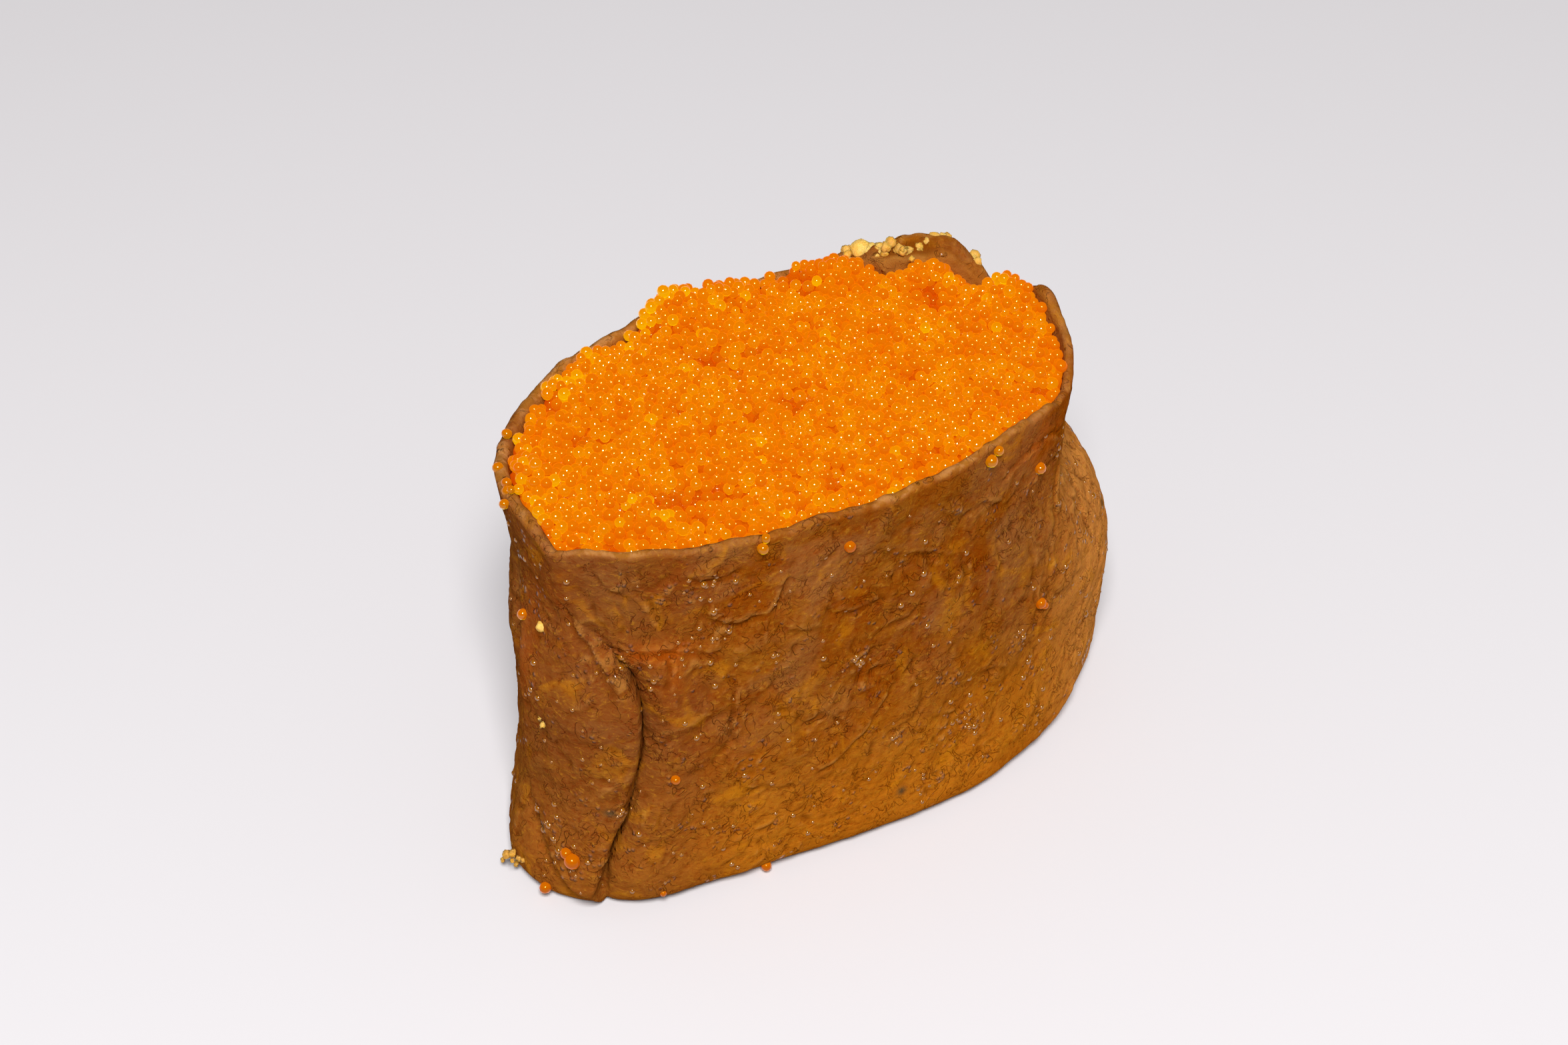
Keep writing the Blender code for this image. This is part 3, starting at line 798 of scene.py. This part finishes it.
def egg_places():
    """Places, sizes and depths of the eggs in the heap's outer layers: random, then pushed apart."""
    random = np.random.default_rng(EGG_SEED)
    x = random.uniform(-SCATTER[0], SCATTER[0], EGGS * 4)
    y = random.uniform(-SCATTER[1], SCATTER[1], EGGS * 4)
    inside = np.hypot(x, y) < mouth_reach(x, y)[0] - 0.5 * EGG
    x, y = x[inside][:EGGS], y[inside][:EGGS]
    size = EGG * random.uniform(*EGG_SIZES, len(x))
    ceiling = random.normal(0.0, CEILING_SPREAD, len(x))
    z = heap_height(x, y) - pit_depth(x, y) - size / 2 - random.uniform(0, SHELL, len(x))
    places = np.stack([x, y, z], axis=1)
    for step in range(PUSHES):
        if step % LOOK_UP == 0:
            pairs = close_pairs(places)
        places += pushes_apart(places, size, pairs)
        inner, edge = mouth_reach(places[:, 0], places[:, 1])
        spill = waves(np.degrees(np.arctan2(places[:, 1], places[:, 0])), ROE_SPILLS)
        reach = inner + spill * (places[:, 2] > edge - SPILL_DEPTH)
        radius = np.hypot(places[:, 0], places[:, 1])
        limit = np.minimum(1.0, (reach - 0.42 * size) / np.maximum(radius, 1e-6))
        places[:, :2] *= limit[:, None]
        top = heap_height(places[:, 0], places[:, 1])
        sunk = top - pit_depth(places[:, 0], places[:, 1])
        places[:, 2] = np.clip(places[:, 2], sunk - SHELL - 0.5, sunk - size / 2 + ceiling)
    over = np.hypot(places[:, 0], places[:, 1]) > inner - 0.3 * size
    over &= places[:, 2] > edge - SPILL_DEPTH
    places[:, 2] = np.where(over, np.maximum(places[:, 2], edge + SPILL_LIFT), places[:, 2])
    return places, size, top - places[:, 2]


def round_egg():
    """One egg: a small ball of a few dozen faces, as points and triangles."""
    blank_slate()
    bpy.ops.mesh.primitive_ico_sphere_add(subdivisions=2, radius=0.5)
    ball = bpy.context.object
    points = np.array([vertex.co[:] for vertex in ball.data.vertices])
    faces = np.array([polygon.vertices[:] for polygon in ball.data.polygons])
    bpy.data.objects.remove(ball, do_unlink=True)
    return points, faces


def spread_eggs(name, places, sizes, seed, tones=0.0, buried=0.0, apart=0.0):
    """Copies of one egg, each turned and a little out of round, joined in one piece."""
    random = np.random.default_rng(seed)
    ball, faces = round_egg()
    count = len(places)
    points = np.repeat(ball[None], count, axis=0)
    stretch = 1.0 + random.uniform(-0.07, 0.07, (count, 1, 3))
    quarter = random.normal(size=(count, 3, 3))
    turned, _ = np.linalg.qr(quarter)
    turned *= np.sign(np.linalg.det(turned))[:, None, None]
    points = np.einsum("nij,nkj->nki", turned, points * stretch) * sizes[:, None, None]
    lower = np.clip(-points[..., 2] / (0.5 * sizes[:, None]), -1.0, 1.0)
    points = (points + places[:, None, :] + SHIFT) * MM
    joined = (faces[None] + (np.arange(count) * len(ball))[:, None, None]).reshape(-1, 3)
    mesh = bpy.data.meshes.new(name)
    mesh.from_pydata(points.reshape(-1, 3).tolist(), [], joined.tolist())
    mesh.update()
    mesh.polygons.foreach_set("use_smooth", [True] * len(mesh.polygons))
    piece = bpy.data.objects.new(name, mesh)
    bpy.context.collection.objects.link(piece)
    give_values(piece, "underneath", lower.ravel())
    for value, values in (("tone", tones), ("buried", buried), ("apart", apart)):
        give_values(piece, value, np.repeat(np.broadcast_to(values, count), len(ball)))
    return piece


# Each kind of egg: its darker and brighter body and the glow at its lower side, all three a painted glow that
# the egg emits, then how strongly it mirrors (the shader's IOR) and how blue its glints are.
EGG_KINDS = {
    "roe_deep_orange": ((0.68, 0.098, 0.0001), (0.70, 0.130, 0.0001), (0.76, 0.210, 0.0002), 1.40, 0.25),
    "roe_orange": ((0.70, 0.130, 0.0001), (0.72, 0.162, 0.0001), (0.78, 0.270, 0.0002), 1.46, 0.30),
    "roe_amber": ((0.72, 0.168, 0.0001), (0.75, 0.225, 0.0001), (0.84, 0.520, 0.0003), 1.70, 0.50),
    "roe_clear_yellow": ((0.76, 0.270, 0.0001), (0.82, 0.380, 0.0002), (0.95, 0.720, 0.0008), 1.56, 0.45),
}
# Where clear yellow eggs gather, as (x, y, spread, share).
YELLOW_PATCHES = ((-22.5, -8.0, 1.8, 0.4), (-8.5, 15.5, 2.4, 0.9), (-4.0, 16.0, 2.2, 0.5),
                  (2.0, 16.8, 2.2, 0.5), (-20.5, 14.0, 2.6, 0.9), (-16.5, 15.5, 1.8, 0.7),
                  (-27.0, 9.0, 1.8, 0.8), (-31.0, 4.0, 2.4, 0.8), (-31.5, -1.5, 2.2, 0.6),
                  (11.5, 15.5, 2.0, 0.4), (24.5, 2.5, 1.8, 0.5), (16, -12, 3, 0.08),
                  (-11, -6, 1.5, 0.3), (4, 2, 1.5, 0.3), (-14, 4, 1.2, 0.3))

# Eggs stuck to the skin, or over its rim, by kind: (degrees round the oval, height, size).
STRAY_EGGS = {
    "roe_deep_orange": ((258, 37.7, 1.15), (296.2, 18.9, 1.1), (297.4, 18.2, 0.8), (196.8, 7.4, 1.6),
                        (194.8, 7.9, 1.1), (187, 1.6, 1.2), (244.6, 1.0, 1.1), (222, 2.0, 0.7),
                        (20, 24.0, 1.0)),
    "roe_orange": ((221.8, 16.6, 0.9), (70, 14.0, 1.0)),
    "roe_amber": ((303.5, 34.5, 1.2), (176.5, 30.4, 1.1), (169, 43.0, 1.0), (95, 30.0, 1.1),
                  (128, 8.0, 1.1)),
    "roe_clear_yellow": ((242, 40.9, 1.1), (242.8, 41.8, 0.9), (285, 40.3, 1.2), (287, 41.0, 1.0),
                         (160, 42.4, 1.1), (171, 42.6, 1.1), (174, 42.2, 1.0), (172.5, 43.1, 0.8),
                         (146, 42.4, 1.0), (350, 28.5, 1.0)),
}
STRAY_TONE = 0.7

# Clusters of curd crumbs, as (degrees, height over the rim, distance out from the skin, spread, number,
# mean size, how pale). The low ones give their height over the ground instead.
CRUMB_SEED = 9
CRUMB_ROUGHNESS = 0.10
CRUMBS = (
    (53, 0.0, -0.9, 0.4, 4, 1.7, 1.0), (49, 0.1, -1.2, 0.8, 12, 1.1, 0.7), (45, 0.2, -1.3, 0.9, 12, 0.9, 0.6),
    (40, 0.2, -1.0, 0.8, 10, 0.9, 0.6), (34, 0.0, -0.9, 0.5, 9, 1.2, 0.9), (31, 0.0, -0.9, 0.6, 8, 1.0, 0.7),
    (24.5, -0.4, -0.2, 0.5, 9, 1.0, 0.8), (4, -0.5, -0.3, 0.4, 5, 0.7, 0.8),
    (58, 0.0, -0.6, 0.9, 8, 0.8, 0.6),
)
LOW_CRUMBS = (
    (183, 30.7, 0.1, 0.15, 2, 0.8, 1.0), (177, 3.0, 0.0, 0.6, 9, 0.8, 0.4), (174, 1.6, 0.0, 0.5, 6, 0.7, 0.6),
    (346, 28.5, 0.2, 0.5, 6, 0.7, 0.5), (188, 22.0, 0.0, 0.3, 3, 0.4, 0.8), (60, 20.0, 0.0, 0.5, 4, 0.5, 0.8),
)


def on_skin(direction, height, out):
    """A place on the skin's outer face, or above its rim, a little way out."""
    angle, level = np.array([float(direction)]), np.array([float(height)])
    rim = rim_height(angle)
    up = np.minimum(level / rim, 1.0)
    across, along = outward(angle, up)
    above = max(level[0] - rim[0], 0.0)
    out = out - 0.5 * rim_width(direction) * min(above * 4, 1.5)
    return wall(angle, up, 0.0, 0.0, BASE_ROUND)[0] + [across[0] * out, along[0] * out, above]


def yellow_chance(places, buried):
    """How likely each egg is a clear yellow one: a few anywhere, more in patches near the edge."""
    chance = 0.012 + sum(share * hill(np.hypot(places[:, 0] - x, places[:, 1] - y), 0, spread)
                         for x, y, spread, share in YELLOW_PATCHES)
    return chance * (1 - buried)


def tofu_crumbs():
    """Crumbs of fried curd on the folded edge and low on the skin."""
    random = np.random.default_rng(CRUMB_SEED)
    found = []
    for direction, height, out, spread, count, size, pale in (
            [(crumb[0], rim_height(crumb[0]) + crumb[1], *crumb[2:]) for crumb in CRUMBS] + list(LOW_CRUMBS)):
        middle = on_skin(direction, height, out)
        for _ in range(count):
            found.append((*(middle + random.normal(size=3) * spread * np.array([0.8, 0.8, 0.35])),
                          size * random.uniform(0.5, 1.4), pale * random.uniform(0.5, 1.1)))
    found = np.array(found)
    found[:, 2] = np.maximum(found[:, 2], 0.5 * found[:, 3])
    crumbs = spread_eggs("tofu_crumbs", found[:, :3], found[:, 3], CRUMB_SEED, found[:, 4])
    craggy = np.array([vertex.co[:] for vertex in crumbs.data.vertices])
    craggy += random.uniform(-1, 1, craggy.shape) * CRUMB_ROUGHNESS * MM
    crumbs.data.vertices.foreach_set("co", craggy.ravel())
    return crumbs


def heap_core():
    """The smaller core under the eggs, with a relief of rounded lumps.

    Its grid runs from the foot of its side, up to the edge of its top, and in to the middle."""
    blank_slate()
    bpy.ops.mesh.primitive_grid_add(x_subdivisions=300, y_subdivisions=90, size=1.0)
    core = active_piece("roe_core")
    flat = np.array([vertex.co[:] for vertex in core.data.vertices])
    angle = (flat[:, 0] + 0.5) * 360.0
    part = flat[:, 1] + 0.5
    side = np.clip(part / CORE_SIDE, 0.0, 1.0)
    out = np.clip((1.0 - part) / (1.0 - CORE_SIDE), 0.0, 1.0)
    rim = rim_height(angle)
    edge_up = (rim + ROE_EDGE + waves(angle, ROE_EDGE_WAVES) - CORE_DROP) / rim
    low_up = (FLOOR + GAP) / rim
    up = low_up + (edge_up - low_up) * side
    points = wall(angle, up, inner_inset(angle, up) + GAP, FLOOR + GAP, FLOOR_ROUND)
    points[:, :2] *= out[:, None]
    top = heap_height(points[:, 0], points[:, 1]) - pit_depth(points[:, 0], points[:, 1]) - CORE_DROP
    lumps = np.clip(cell_edges(points * np.array([1, 1, 0.3]), EGG), 0.0, 1.0)
    points[:, 2] = np.where(part > CORE_SIDE, top + CORE_LUMPS * lumps, np.minimum(points[:, 2], top))
    core.data.vertices.foreach_set("co", ((points + SHIFT) * MM).ravel())
    close_up()
    return core


def fish_roe():
    """The heap: its eggs, sorted into kinds by tone, with the strays, over the core."""
    places, sizes, depth = egg_places()
    random = np.random.default_rng(EGG_SEED + 1)
    tones = random.uniform(0, 1, len(places)) + 0.45 * noise_at(places, 5.0, 7.0)
    # How far each egg lies under others, for the painted shade in its glow.
    buried = ease(*SHADED, depth - sizes / 2)
    yellow = random.uniform(0, 1, len(places)) < yellow_chance(places, buried)
    ranks = np.argsort(np.argsort(tones)) / len(tones)
    core = heap_core()
    for number, (kind, look) in enumerate(EGG_KINDS.items()):
        chosen = yellow if kind == "roe_clear_yellow" else ~yellow & (np.floor(ranks * 3) == number)
        strays = np.array([(*on_skin(direction, height, 0.25 * size), size)
                           for direction, height, size in STRAY_EGGS[kind]])
        heaped, alone = chosen.sum(), len(strays)
        eggs = spread_eggs(kind, np.concatenate([places[chosen], strays[:, :3]]),
                           np.concatenate([sizes[chosen], strays[:, 3]]), EGG_SEED + 2 + number,
                           np.concatenate([(ranks[chosen] * 3) % 1.0, np.full(alone, STRAY_TONE)]),
                           np.concatenate([buried[chosen], np.zeros(alone)]),
                           np.concatenate([np.zeros(heaped), np.ones(alone)]))
        settle(eggs, egg_jelly(kind, *look))
    settle(core, core_jelly(), ("roe",))


# ---- Finishes ----

class Field:
    """A shader socket that takes part in sums: each sum adds its Math node."""

    def __init__(self, finish, socket):
        self.finish = finish
        self.socket = socket

    def _maths(self, operation, *values, clamp=False):
        return self.finish.node("ShaderNodeMath", {"operation": operation, "use_clamp": clamp}, *values)

    def __add__(self, other):
        return self._maths("ADD", self, other)

    def __sub__(self, other):
        return self._maths("SUBTRACT", self, other)

    def __rsub__(self, other):
        return self._maths("SUBTRACT", other, self)

    def __mul__(self, other):
        return self._maths("MULTIPLY", self, other)

    __radd__ = __add__
    __rmul__ = __mul__

    def between(self, low, high):
        """Ease from 0 at low to 1 at high."""
        settings = {"interpolation_type": "SMOOTHSTEP", "clamp": True}
        return self.finish.node("ShaderNodeMapRange", settings, self, low, high, 0.0, 1.0)

    def clamped(self):
        """Kept between 0 and 1."""
        return self._maths("ADD", self, 0.0, clamp=True)


class Finish:
    """A node material, written as sums of fields."""

    def __init__(self, name):
        self.material = bpy.data.materials.new(name)
        self.material.use_nodes = True
        self.tree = self.material.node_tree
        self.shader = self.tree.nodes["Principled BSDF"]
        self.place = self.node("ShaderNodeTexCoord", {}, output="Object")

    def node(self, kind, settings, *values, output=0, **named):
        """Add a node, set it up and feed its sockets. Values come in socket order or by name."""
        made = self.tree.nodes.new(kind)
        for key, value in settings.items():
            setattr(made, key, value)
        for key, value in list(enumerate(values)) + [(k.replace("_", " "), v) for k, v in named.items()]:
            self.feed(made.inputs[key], value)
        return Field(self, made.outputs[output])

    def feed(self, socket, value):
        """Link a field to a socket, or set the socket's own value."""
        if isinstance(value, Field):
            self.tree.links.new(value.socket, socket)
        elif isinstance(value, tuple) and socket.type == "RGBA" and len(value) == 3:
            socket.default_value = (*value, 1.0)
        elif value is not None:
            socket.default_value = value

    def attribute(self, name):
        """A number that the mesh holds at each vertex."""
        return self.node("ShaderNodeAttribute", {"attribute_name": name}, output="Fac")

    def noise(self, scale, detail=3.0, roughness=0.55, distortion=0.0, place=None):
        """Noise between 0 and 1, with lumps of about 1 / scale metres."""
        return self.node("ShaderNodeTexNoise", {}, Vector=place or self.place, Scale=scale, Detail=detail,
                         Roughness=roughness, Distortion=distortion)

    def cells(self, scale):
        """The distance to the nearest of many scattered points."""
        return self.node("ShaderNodeTexVoronoi", {}, Vector=self.place, Scale=scale, output="Distance")

    def turned(self, turn, stretch=(1.0, 1.0, 1.0), place=None):
        """Coordinates turned and stretched, for patterns that run one way."""
        return self.node("ShaderNodeMapping", {}, Vector=place or self.place, Rotation=turn, Scale=stretch)

    def seams(self, scale, width, distortion, place):
        """Thin curved lines: 1 where noise passes its middle, fading to 0 beside it."""
        offset = self.noise(scale, 2.0, 0.5, distortion, place) - 0.5
        return self.node("ShaderNodeMath", {"operation": "ABSOLUTE"}, offset).between(width, 0.0)

    def warped(self, scale, amount):
        """The object's coordinates, pushed about by noise."""
        push = self.node("ShaderNodeTexNoise", {}, Vector=self.place, Scale=scale, Detail=2.0,
                         output="Color")
        return self.node("ShaderNodeVectorMath", {"operation": "MULTIPLY_ADD"}, push, (amount,) * 3,
                         self.place)

    def mix(self, one, two, share):
        """A colour between two."""
        made = self.tree.nodes.new("ShaderNodeMix")
        made.data_type = "RGBA"
        self.feed(made.inputs[0], share)
        self.feed(made.inputs[6], one)
        self.feed(made.inputs[7], two)
        return Field(self, made.outputs[2])

    def layered(self, tone, *layers):
        """A colour under others, each laid over it as (colour, share)."""
        for colour, share in layers:
            tone = self.mix(tone, colour, share)
        return tone

    def bump(self, height, depth, strength=1.0, under=None):
        """A relief of the given depth in metres, on top of another."""
        values = {"Height": height, "Distance": depth, "Strength": strength}
        if under is not None:
            values["Normal"] = under
        return self.node("ShaderNodeBump", {}, **values)

    def surface(self, **sockets):
        """Feed the main shader, by socket names with underscores for spaces."""
        for key, value in sockets.items():
            self.feed(self.shader.inputs[key.replace("_", " ")], value)
        return self.material


def simmered_skin():
    """Simmered tofu skin: reddish to golden browns in fine mottles, painted shade in its wet creases, painted
    sheen and highlights, painted light on the right bulge, a paler cut edge.
    """
    finish = Finish("simmered_tofu_skin")
    crease, ridge, wet, cut, lining, stain, fleck = (
        finish.attribute(name) for name in ("crease", "ridge", "wet", "cut_edge", "lining", "stain", "fleck"))
    sideways = finish.node("ShaderNodeSeparateXYZ", {}, finish.place, output="X")
    height = finish.node("ShaderNodeSeparateXYZ", {}, finish.place, output="Z")
    pushed = finish.warped(260, 0.0022)
    mottle = finish.noise(120, 7.0, 0.80, 0.4, pushed)
    streaks = finish.noise(420, 5.0, 0.75, 0.9, finish.turned((0.55, 0.6, 0.5), (0.7, 0.5, 1.2), pushed))
    grain = finish.noise(1900, 3.0, 0.7, 0.8, finish.turned((0.9, 0.5, 0.7), (0.8, 0.7, 1.2)))
    shade = finish.noise(170, 6.0, 0.80, 0.8)
    # Patches of painted sheen: a pale bluish colour that stands in for reflections on the skin.
    painted_sheen = finish.noise(150, 4.0, 0.6, 0.5, finish.turned((0.9, 0.3, 0.4)))
    golden = finish.noise(210, 3.0, 0.6, 0.8, finish.turned((0.4, 0.9, 0.2)))
    wrinkles = finish.seams(420, 0.016, 0.9, pushed) * finish.noise(300, 2.0).between(0.50, 0.60)
    fine_wrinkles = finish.seams(900, 0.028, 0.7, pushed) * finish.noise(400, 2.0).between(0.45, 0.60)
    pores = finish.noise(900, 3.0, 0.6)
    cut_colour = finish.mix((0.24, 0.090, 0.012), (0.36, 0.160, 0.046), pores.between(0.4, 0.6))
    cut_shown = cut * (0.25 + finish.noise(110, 2.0).between(0.42, 0.58) * 0.5)

    tone = finish.layered(
        finish.mix((0.160, 0.028, 0.0002), (0.200, 0.066, 0.0048), mottle.between(0.28, 0.74)),
        # Painted sheen in patches, more of it higher up; paler and more golden low down; painted light on the
        # bulge on the right; darker at the left.
        ((0.205, 0.074, 0.0170), painted_sheen.between(0.42, 0.66) * height.between(0.000, 0.030) * 0.8),
        ((0.400, 0.126, 0.0060), height.between(0.024, 0.002) * 0.60),
        # Painted light: the bulge on the right made paler, as if lit from that side.
        ((0.520, 0.200, 0.0400), sideways.between(0.014, 0.030) * height.between(0.036, 0.024) * 0.72),
        ((0.135, 0.042, 0.0100), sideways.between(-0.014, -0.028) * 0.60),
        ((0.370, 0.130, 0.0030), golden.between(0.55, 0.70) * 0.45),
        # Streaks, shades and grain, each with its darker and its paler side.
        ((0.120, 0.013, 0.0001), streaks.between(0.48, 0.30) * 0.22),
        ((0.320, 0.135, 0.0080), streaks.between(0.54, 0.70) * 0.20),
        ((0.155, 0.024, 0.0002), shade.between(0.46, 0.30) * 0.28),
        ((0.115, 0.010, 0.0001), grain.between(0.48, 0.30) * 0.50),
        ((0.330, 0.140, 0.0100), grain.between(0.54, 0.72) * 0.50),
        # Painted shade in the wrinkles, creases and hollows and a painted highlight on the ridges, then the
        # stains, the lining, the cut edge and the seasoning.
        ((0.110, 0.012, 0.0001), wrinkles.clamped() * 0.35),
        ((0.110, 0.014, 0.0001), fine_wrinkles.clamped() * 0.40),
        # Painted shade in creases and hollows.
        ((0.088, 0.016, 0.0001), crease * 0.70),
        # Painted highlight on the ridges.
        ((0.330, 0.145, 0.0300), ridge.between(0.2, 1.0) * 0.40),
        ((0.330, 0.052, 0.0003), stain.clamped() * mottle.between(0.30, 0.60) * 0.55),
        ((0.220, 0.090, 0.0150), lining * 0.5),
        (cut_colour, cut_shown),
        ((0.030, 0.032, 0.016), fleck.clamped() * 0.85))

    beads = finish.cells(1500).between(0.45, 0.10) * (finish.noise(420, 2.0).between(0.60, 0.66)
                                                      + wet).clamped()
    smooth = 1.0 - (wrinkles + fine_wrinkles * 0.7)
    relief = None
    for pattern, depth, strength in ((mottle, 0.00035, 0.8), (streaks, 0.00012, 1.0), (grain, 0.00009, 1.0),
                                     (smooth, 0.00012, 1.0), (beads, 0.00022, 1.0)):
        relief = finish.bump(pattern, depth, strength, relief)
    return finish.surface(Base_Color=tone, Roughness=0.42, Normal=relief, Specular_IOR_Level=0.0,
                          Coat_Weight=beads, Coat_Roughness=0.08, Coat_IOR=1.42, Subsurface_Weight=0.12,
                          Subsurface_Scale=0.0008, Subsurface_Radius=(1.0, 0.35, 0.10))


def egg_jelly(name, deep, bright, glow, mirror, glint_blue):
    """A clear fish egg as a painted glow: light passing through the heap is painted in as emission, most at
    its lower side.

    Eggs that lie apart from the heap glow less, and shaded ones, with painted shade, are darker."""
    finish = Finish(name)
    tone = finish.attribute("tone")
    underneath = finish.attribute("underneath")
    body = finish.layered(
        finish.mix(deep, bright, tone.clamped()),
        # Less painted glow on eggs that lie apart from the heap.
        ((0.30, 0.040, 0.0002), finish.attribute("apart") * 0.75),
        # Painted light at the lower side, standing in for light focused through the egg.
        (glow, underneath.between(0.34, 0.72) * 0.90),
        # Painted light on the upper side.
        ((0.80, 0.175, 0.0001), underneath.between(-0.10, -0.80) * 0.45),
        # Painted shade on eggs that lie under others.
        ((0.56, 0.045, 0.0001), finish.attribute("buried") * 0.95))
    # The body is emitted as a painted glow; only a dim base colour takes the lamp's light.
    return finish.surface(Base_Color=(0.05, 0.020, 0.0001), Roughness=0.04, IOR=mirror,
                          Specular_Tint=(1.0, 0.95, glint_blue), Emission_Color=body, Emission_Strength=1.0)


def simmering_liquid():
    """Brown liquid in small glossy drops."""
    finish = Finish("simmering_liquid")
    return finish.surface(Base_Color=(0.200, 0.066, 0.0030), Roughness=0.06, IOR=1.90,
                          Specular_Tint=(1.0, 0.90, 0.75))


def fried_curd():
    """Crumbs of pale curd from the cut skin."""
    finish = Finish("fried_curd")
    body = finish.mix((0.28, 0.100, 0.005), (0.62, 0.380, 0.085), finish.attribute("tone").clamped())
    body = finish.mix(body, (0.55, 0.270, 0.020), finish.noise(1400, 3.0).between(0.45, 0.65) * 0.6)
    relief = finish.bump(finish.noise(2600, 2.0), 0.00015)
    return finish.surface(Base_Color=body, Roughness=0.5, Normal=relief, Specular_IOR_Level=0.15,
                          Subsurface_Weight=0.4, Subsurface_Scale=0.0008,
                          Subsurface_Radius=(1.0, 0.6, 0.3))


def core_jelly():
    """The shaded eggs between and under the upper ones, as a dim red painted glow with painted shade."""
    finish = Finish("shaded_roe")
    # Painted glow: an emitted deep red that stands in for light through shaded eggs.
    body = finish.mix((0.54, 0.060, 0.0001), (0.60, 0.085, 0.0001), finish.noise(500).between(0.35, 0.65))
    relief = finish.bump(finish.cells(950), 0.0004, 1.0)
    return finish.surface(Base_Color=(0.13, 0.03, 0.0001), Roughness=0.4, Normal=relief,
                          Specular_IOR_Level=0.0, Subsurface_Weight=0.6, Subsurface_Scale=0.002,
                          Subsurface_Radius=(1.0, 0.3, 0.05), Emission_Color=body, Emission_Strength=0.9)


def pale_floor():
    """A matt pale floor, hardly mottled."""
    finish = Finish("pale_floor")
    tone = finish.mix((0.530, 0.512, 0.523), (0.540, 0.522, 0.533), finish.noise(6.0))
    return finish.surface(Base_Color=tone, Roughness=0.9, Specular_IOR_Level=0.1)


# ---- Pieces, stage, light and camera ----

def settle(piece, material, replaced=()):
    """Give a piece its material, its place on the body and the nodes that it replaces."""
    piece.data.materials.clear()
    piece.data.materials.append(material)
    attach(piece, "root")
    if replaced:
        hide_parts(*replaced)


def stage():
    """The floor that the pouch stands on."""
    blank_slate()
    bpy.ops.mesh.primitive_plane_add(size=FLOOR_SIZE)
    floor = active_piece("floor")
    floor.data.materials.append(pale_floor())


# The camera's place and aim, in the form's own millimetres.
CAMERA_PLACE = np.array([-135.76, -193.53, 222.82])
CAMERA_AIM = np.array([1.28, 6.38, 20.0])
CAMERA_ROLL = -0.39
CAMERA_LENS = 73.0
SENSOR_WIDTH = 36.0
FLOOR_SIZE = 6.0
# Where the softbox points, in metres.
LIT_PLACE = (0, 0, 0.02)
WORLD_COLOUR = (1.0, 0.99, 1.0, 1.0)
WORLD_STRENGTH = 0.32


def camera():
    """The camera, looking down from the front left."""
    place = Vector((CAMERA_PLACE + SHIFT) * MM)
    aim = Vector((CAMERA_AIM + SHIFT) * MM)
    data = bpy.data.cameras.new("camera")
    data.lens = CAMERA_LENS
    data.sensor_width = SENSOR_WIDTH
    data.clip_start = 0.01
    made = bpy.data.objects.new("camera", data)
    bpy.context.scene.collection.objects.link(made)
    turn_to = (aim - place).to_track_quat("-Z", "Y").to_matrix().to_4x4()
    made.matrix_world = (Matrix.Translation(place) @ turn_to
                         @ Matrix.Rotation(math.radians(CAMERA_ROLL), 4, "Z"))
    bpy.context.scene.camera = made


def softbox(azimuth, elevation, distance, size, power):
    """A square lamp that faces the piece: azimuth 0 is the front, and minus is to the left."""
    data = bpy.data.lights.new("key", "AREA")
    data.shape = "SQUARE"
    data.size = size
    data.energy = power
    made = bpy.data.objects.new("key", data)
    bpy.context.scene.collection.objects.link(made)
    flat = math.cos(math.radians(elevation)) * distance
    place = Vector((math.sin(math.radians(azimuth)) * flat, -math.cos(math.radians(azimuth)) * flat,
                    math.sin(math.radians(elevation)) * distance))
    made.location = place
    made.rotation_euler = (Vector(LIT_PLACE) - place).to_track_quat("-Z", "Y").to_euler()


def light():
    """One softbox above the camera, and even light from all round that doesn't show in the glints."""
    world = bpy.data.worlds.new("studio")
    bpy.context.scene.world = world
    world.use_nodes = True
    background = world.node_tree.nodes["Background"]
    background.inputs["Color"].default_value = WORLD_COLOUR
    background.inputs["Strength"].default_value = WORLD_STRENGTH
    world.cycles_visibility.glossy = False
    softbox(azimuth=-33, elevation=54, distance=0.9, size=0.24, power=13.3)
    bpy.context.scene.view_settings.view_transform = "Standard"


def main():
    """The stage first, then the skin, what sits on it, and the heap."""
    stage()
    camera()
    light()
    skin, spots = tofu_skin()
    settle(skin, simmered_skin(), ("pouch",))
    settle(droplets(spots), simmering_liquid())
    fish_roe()
    settle(tofu_crumbs(), fried_curd())


main()
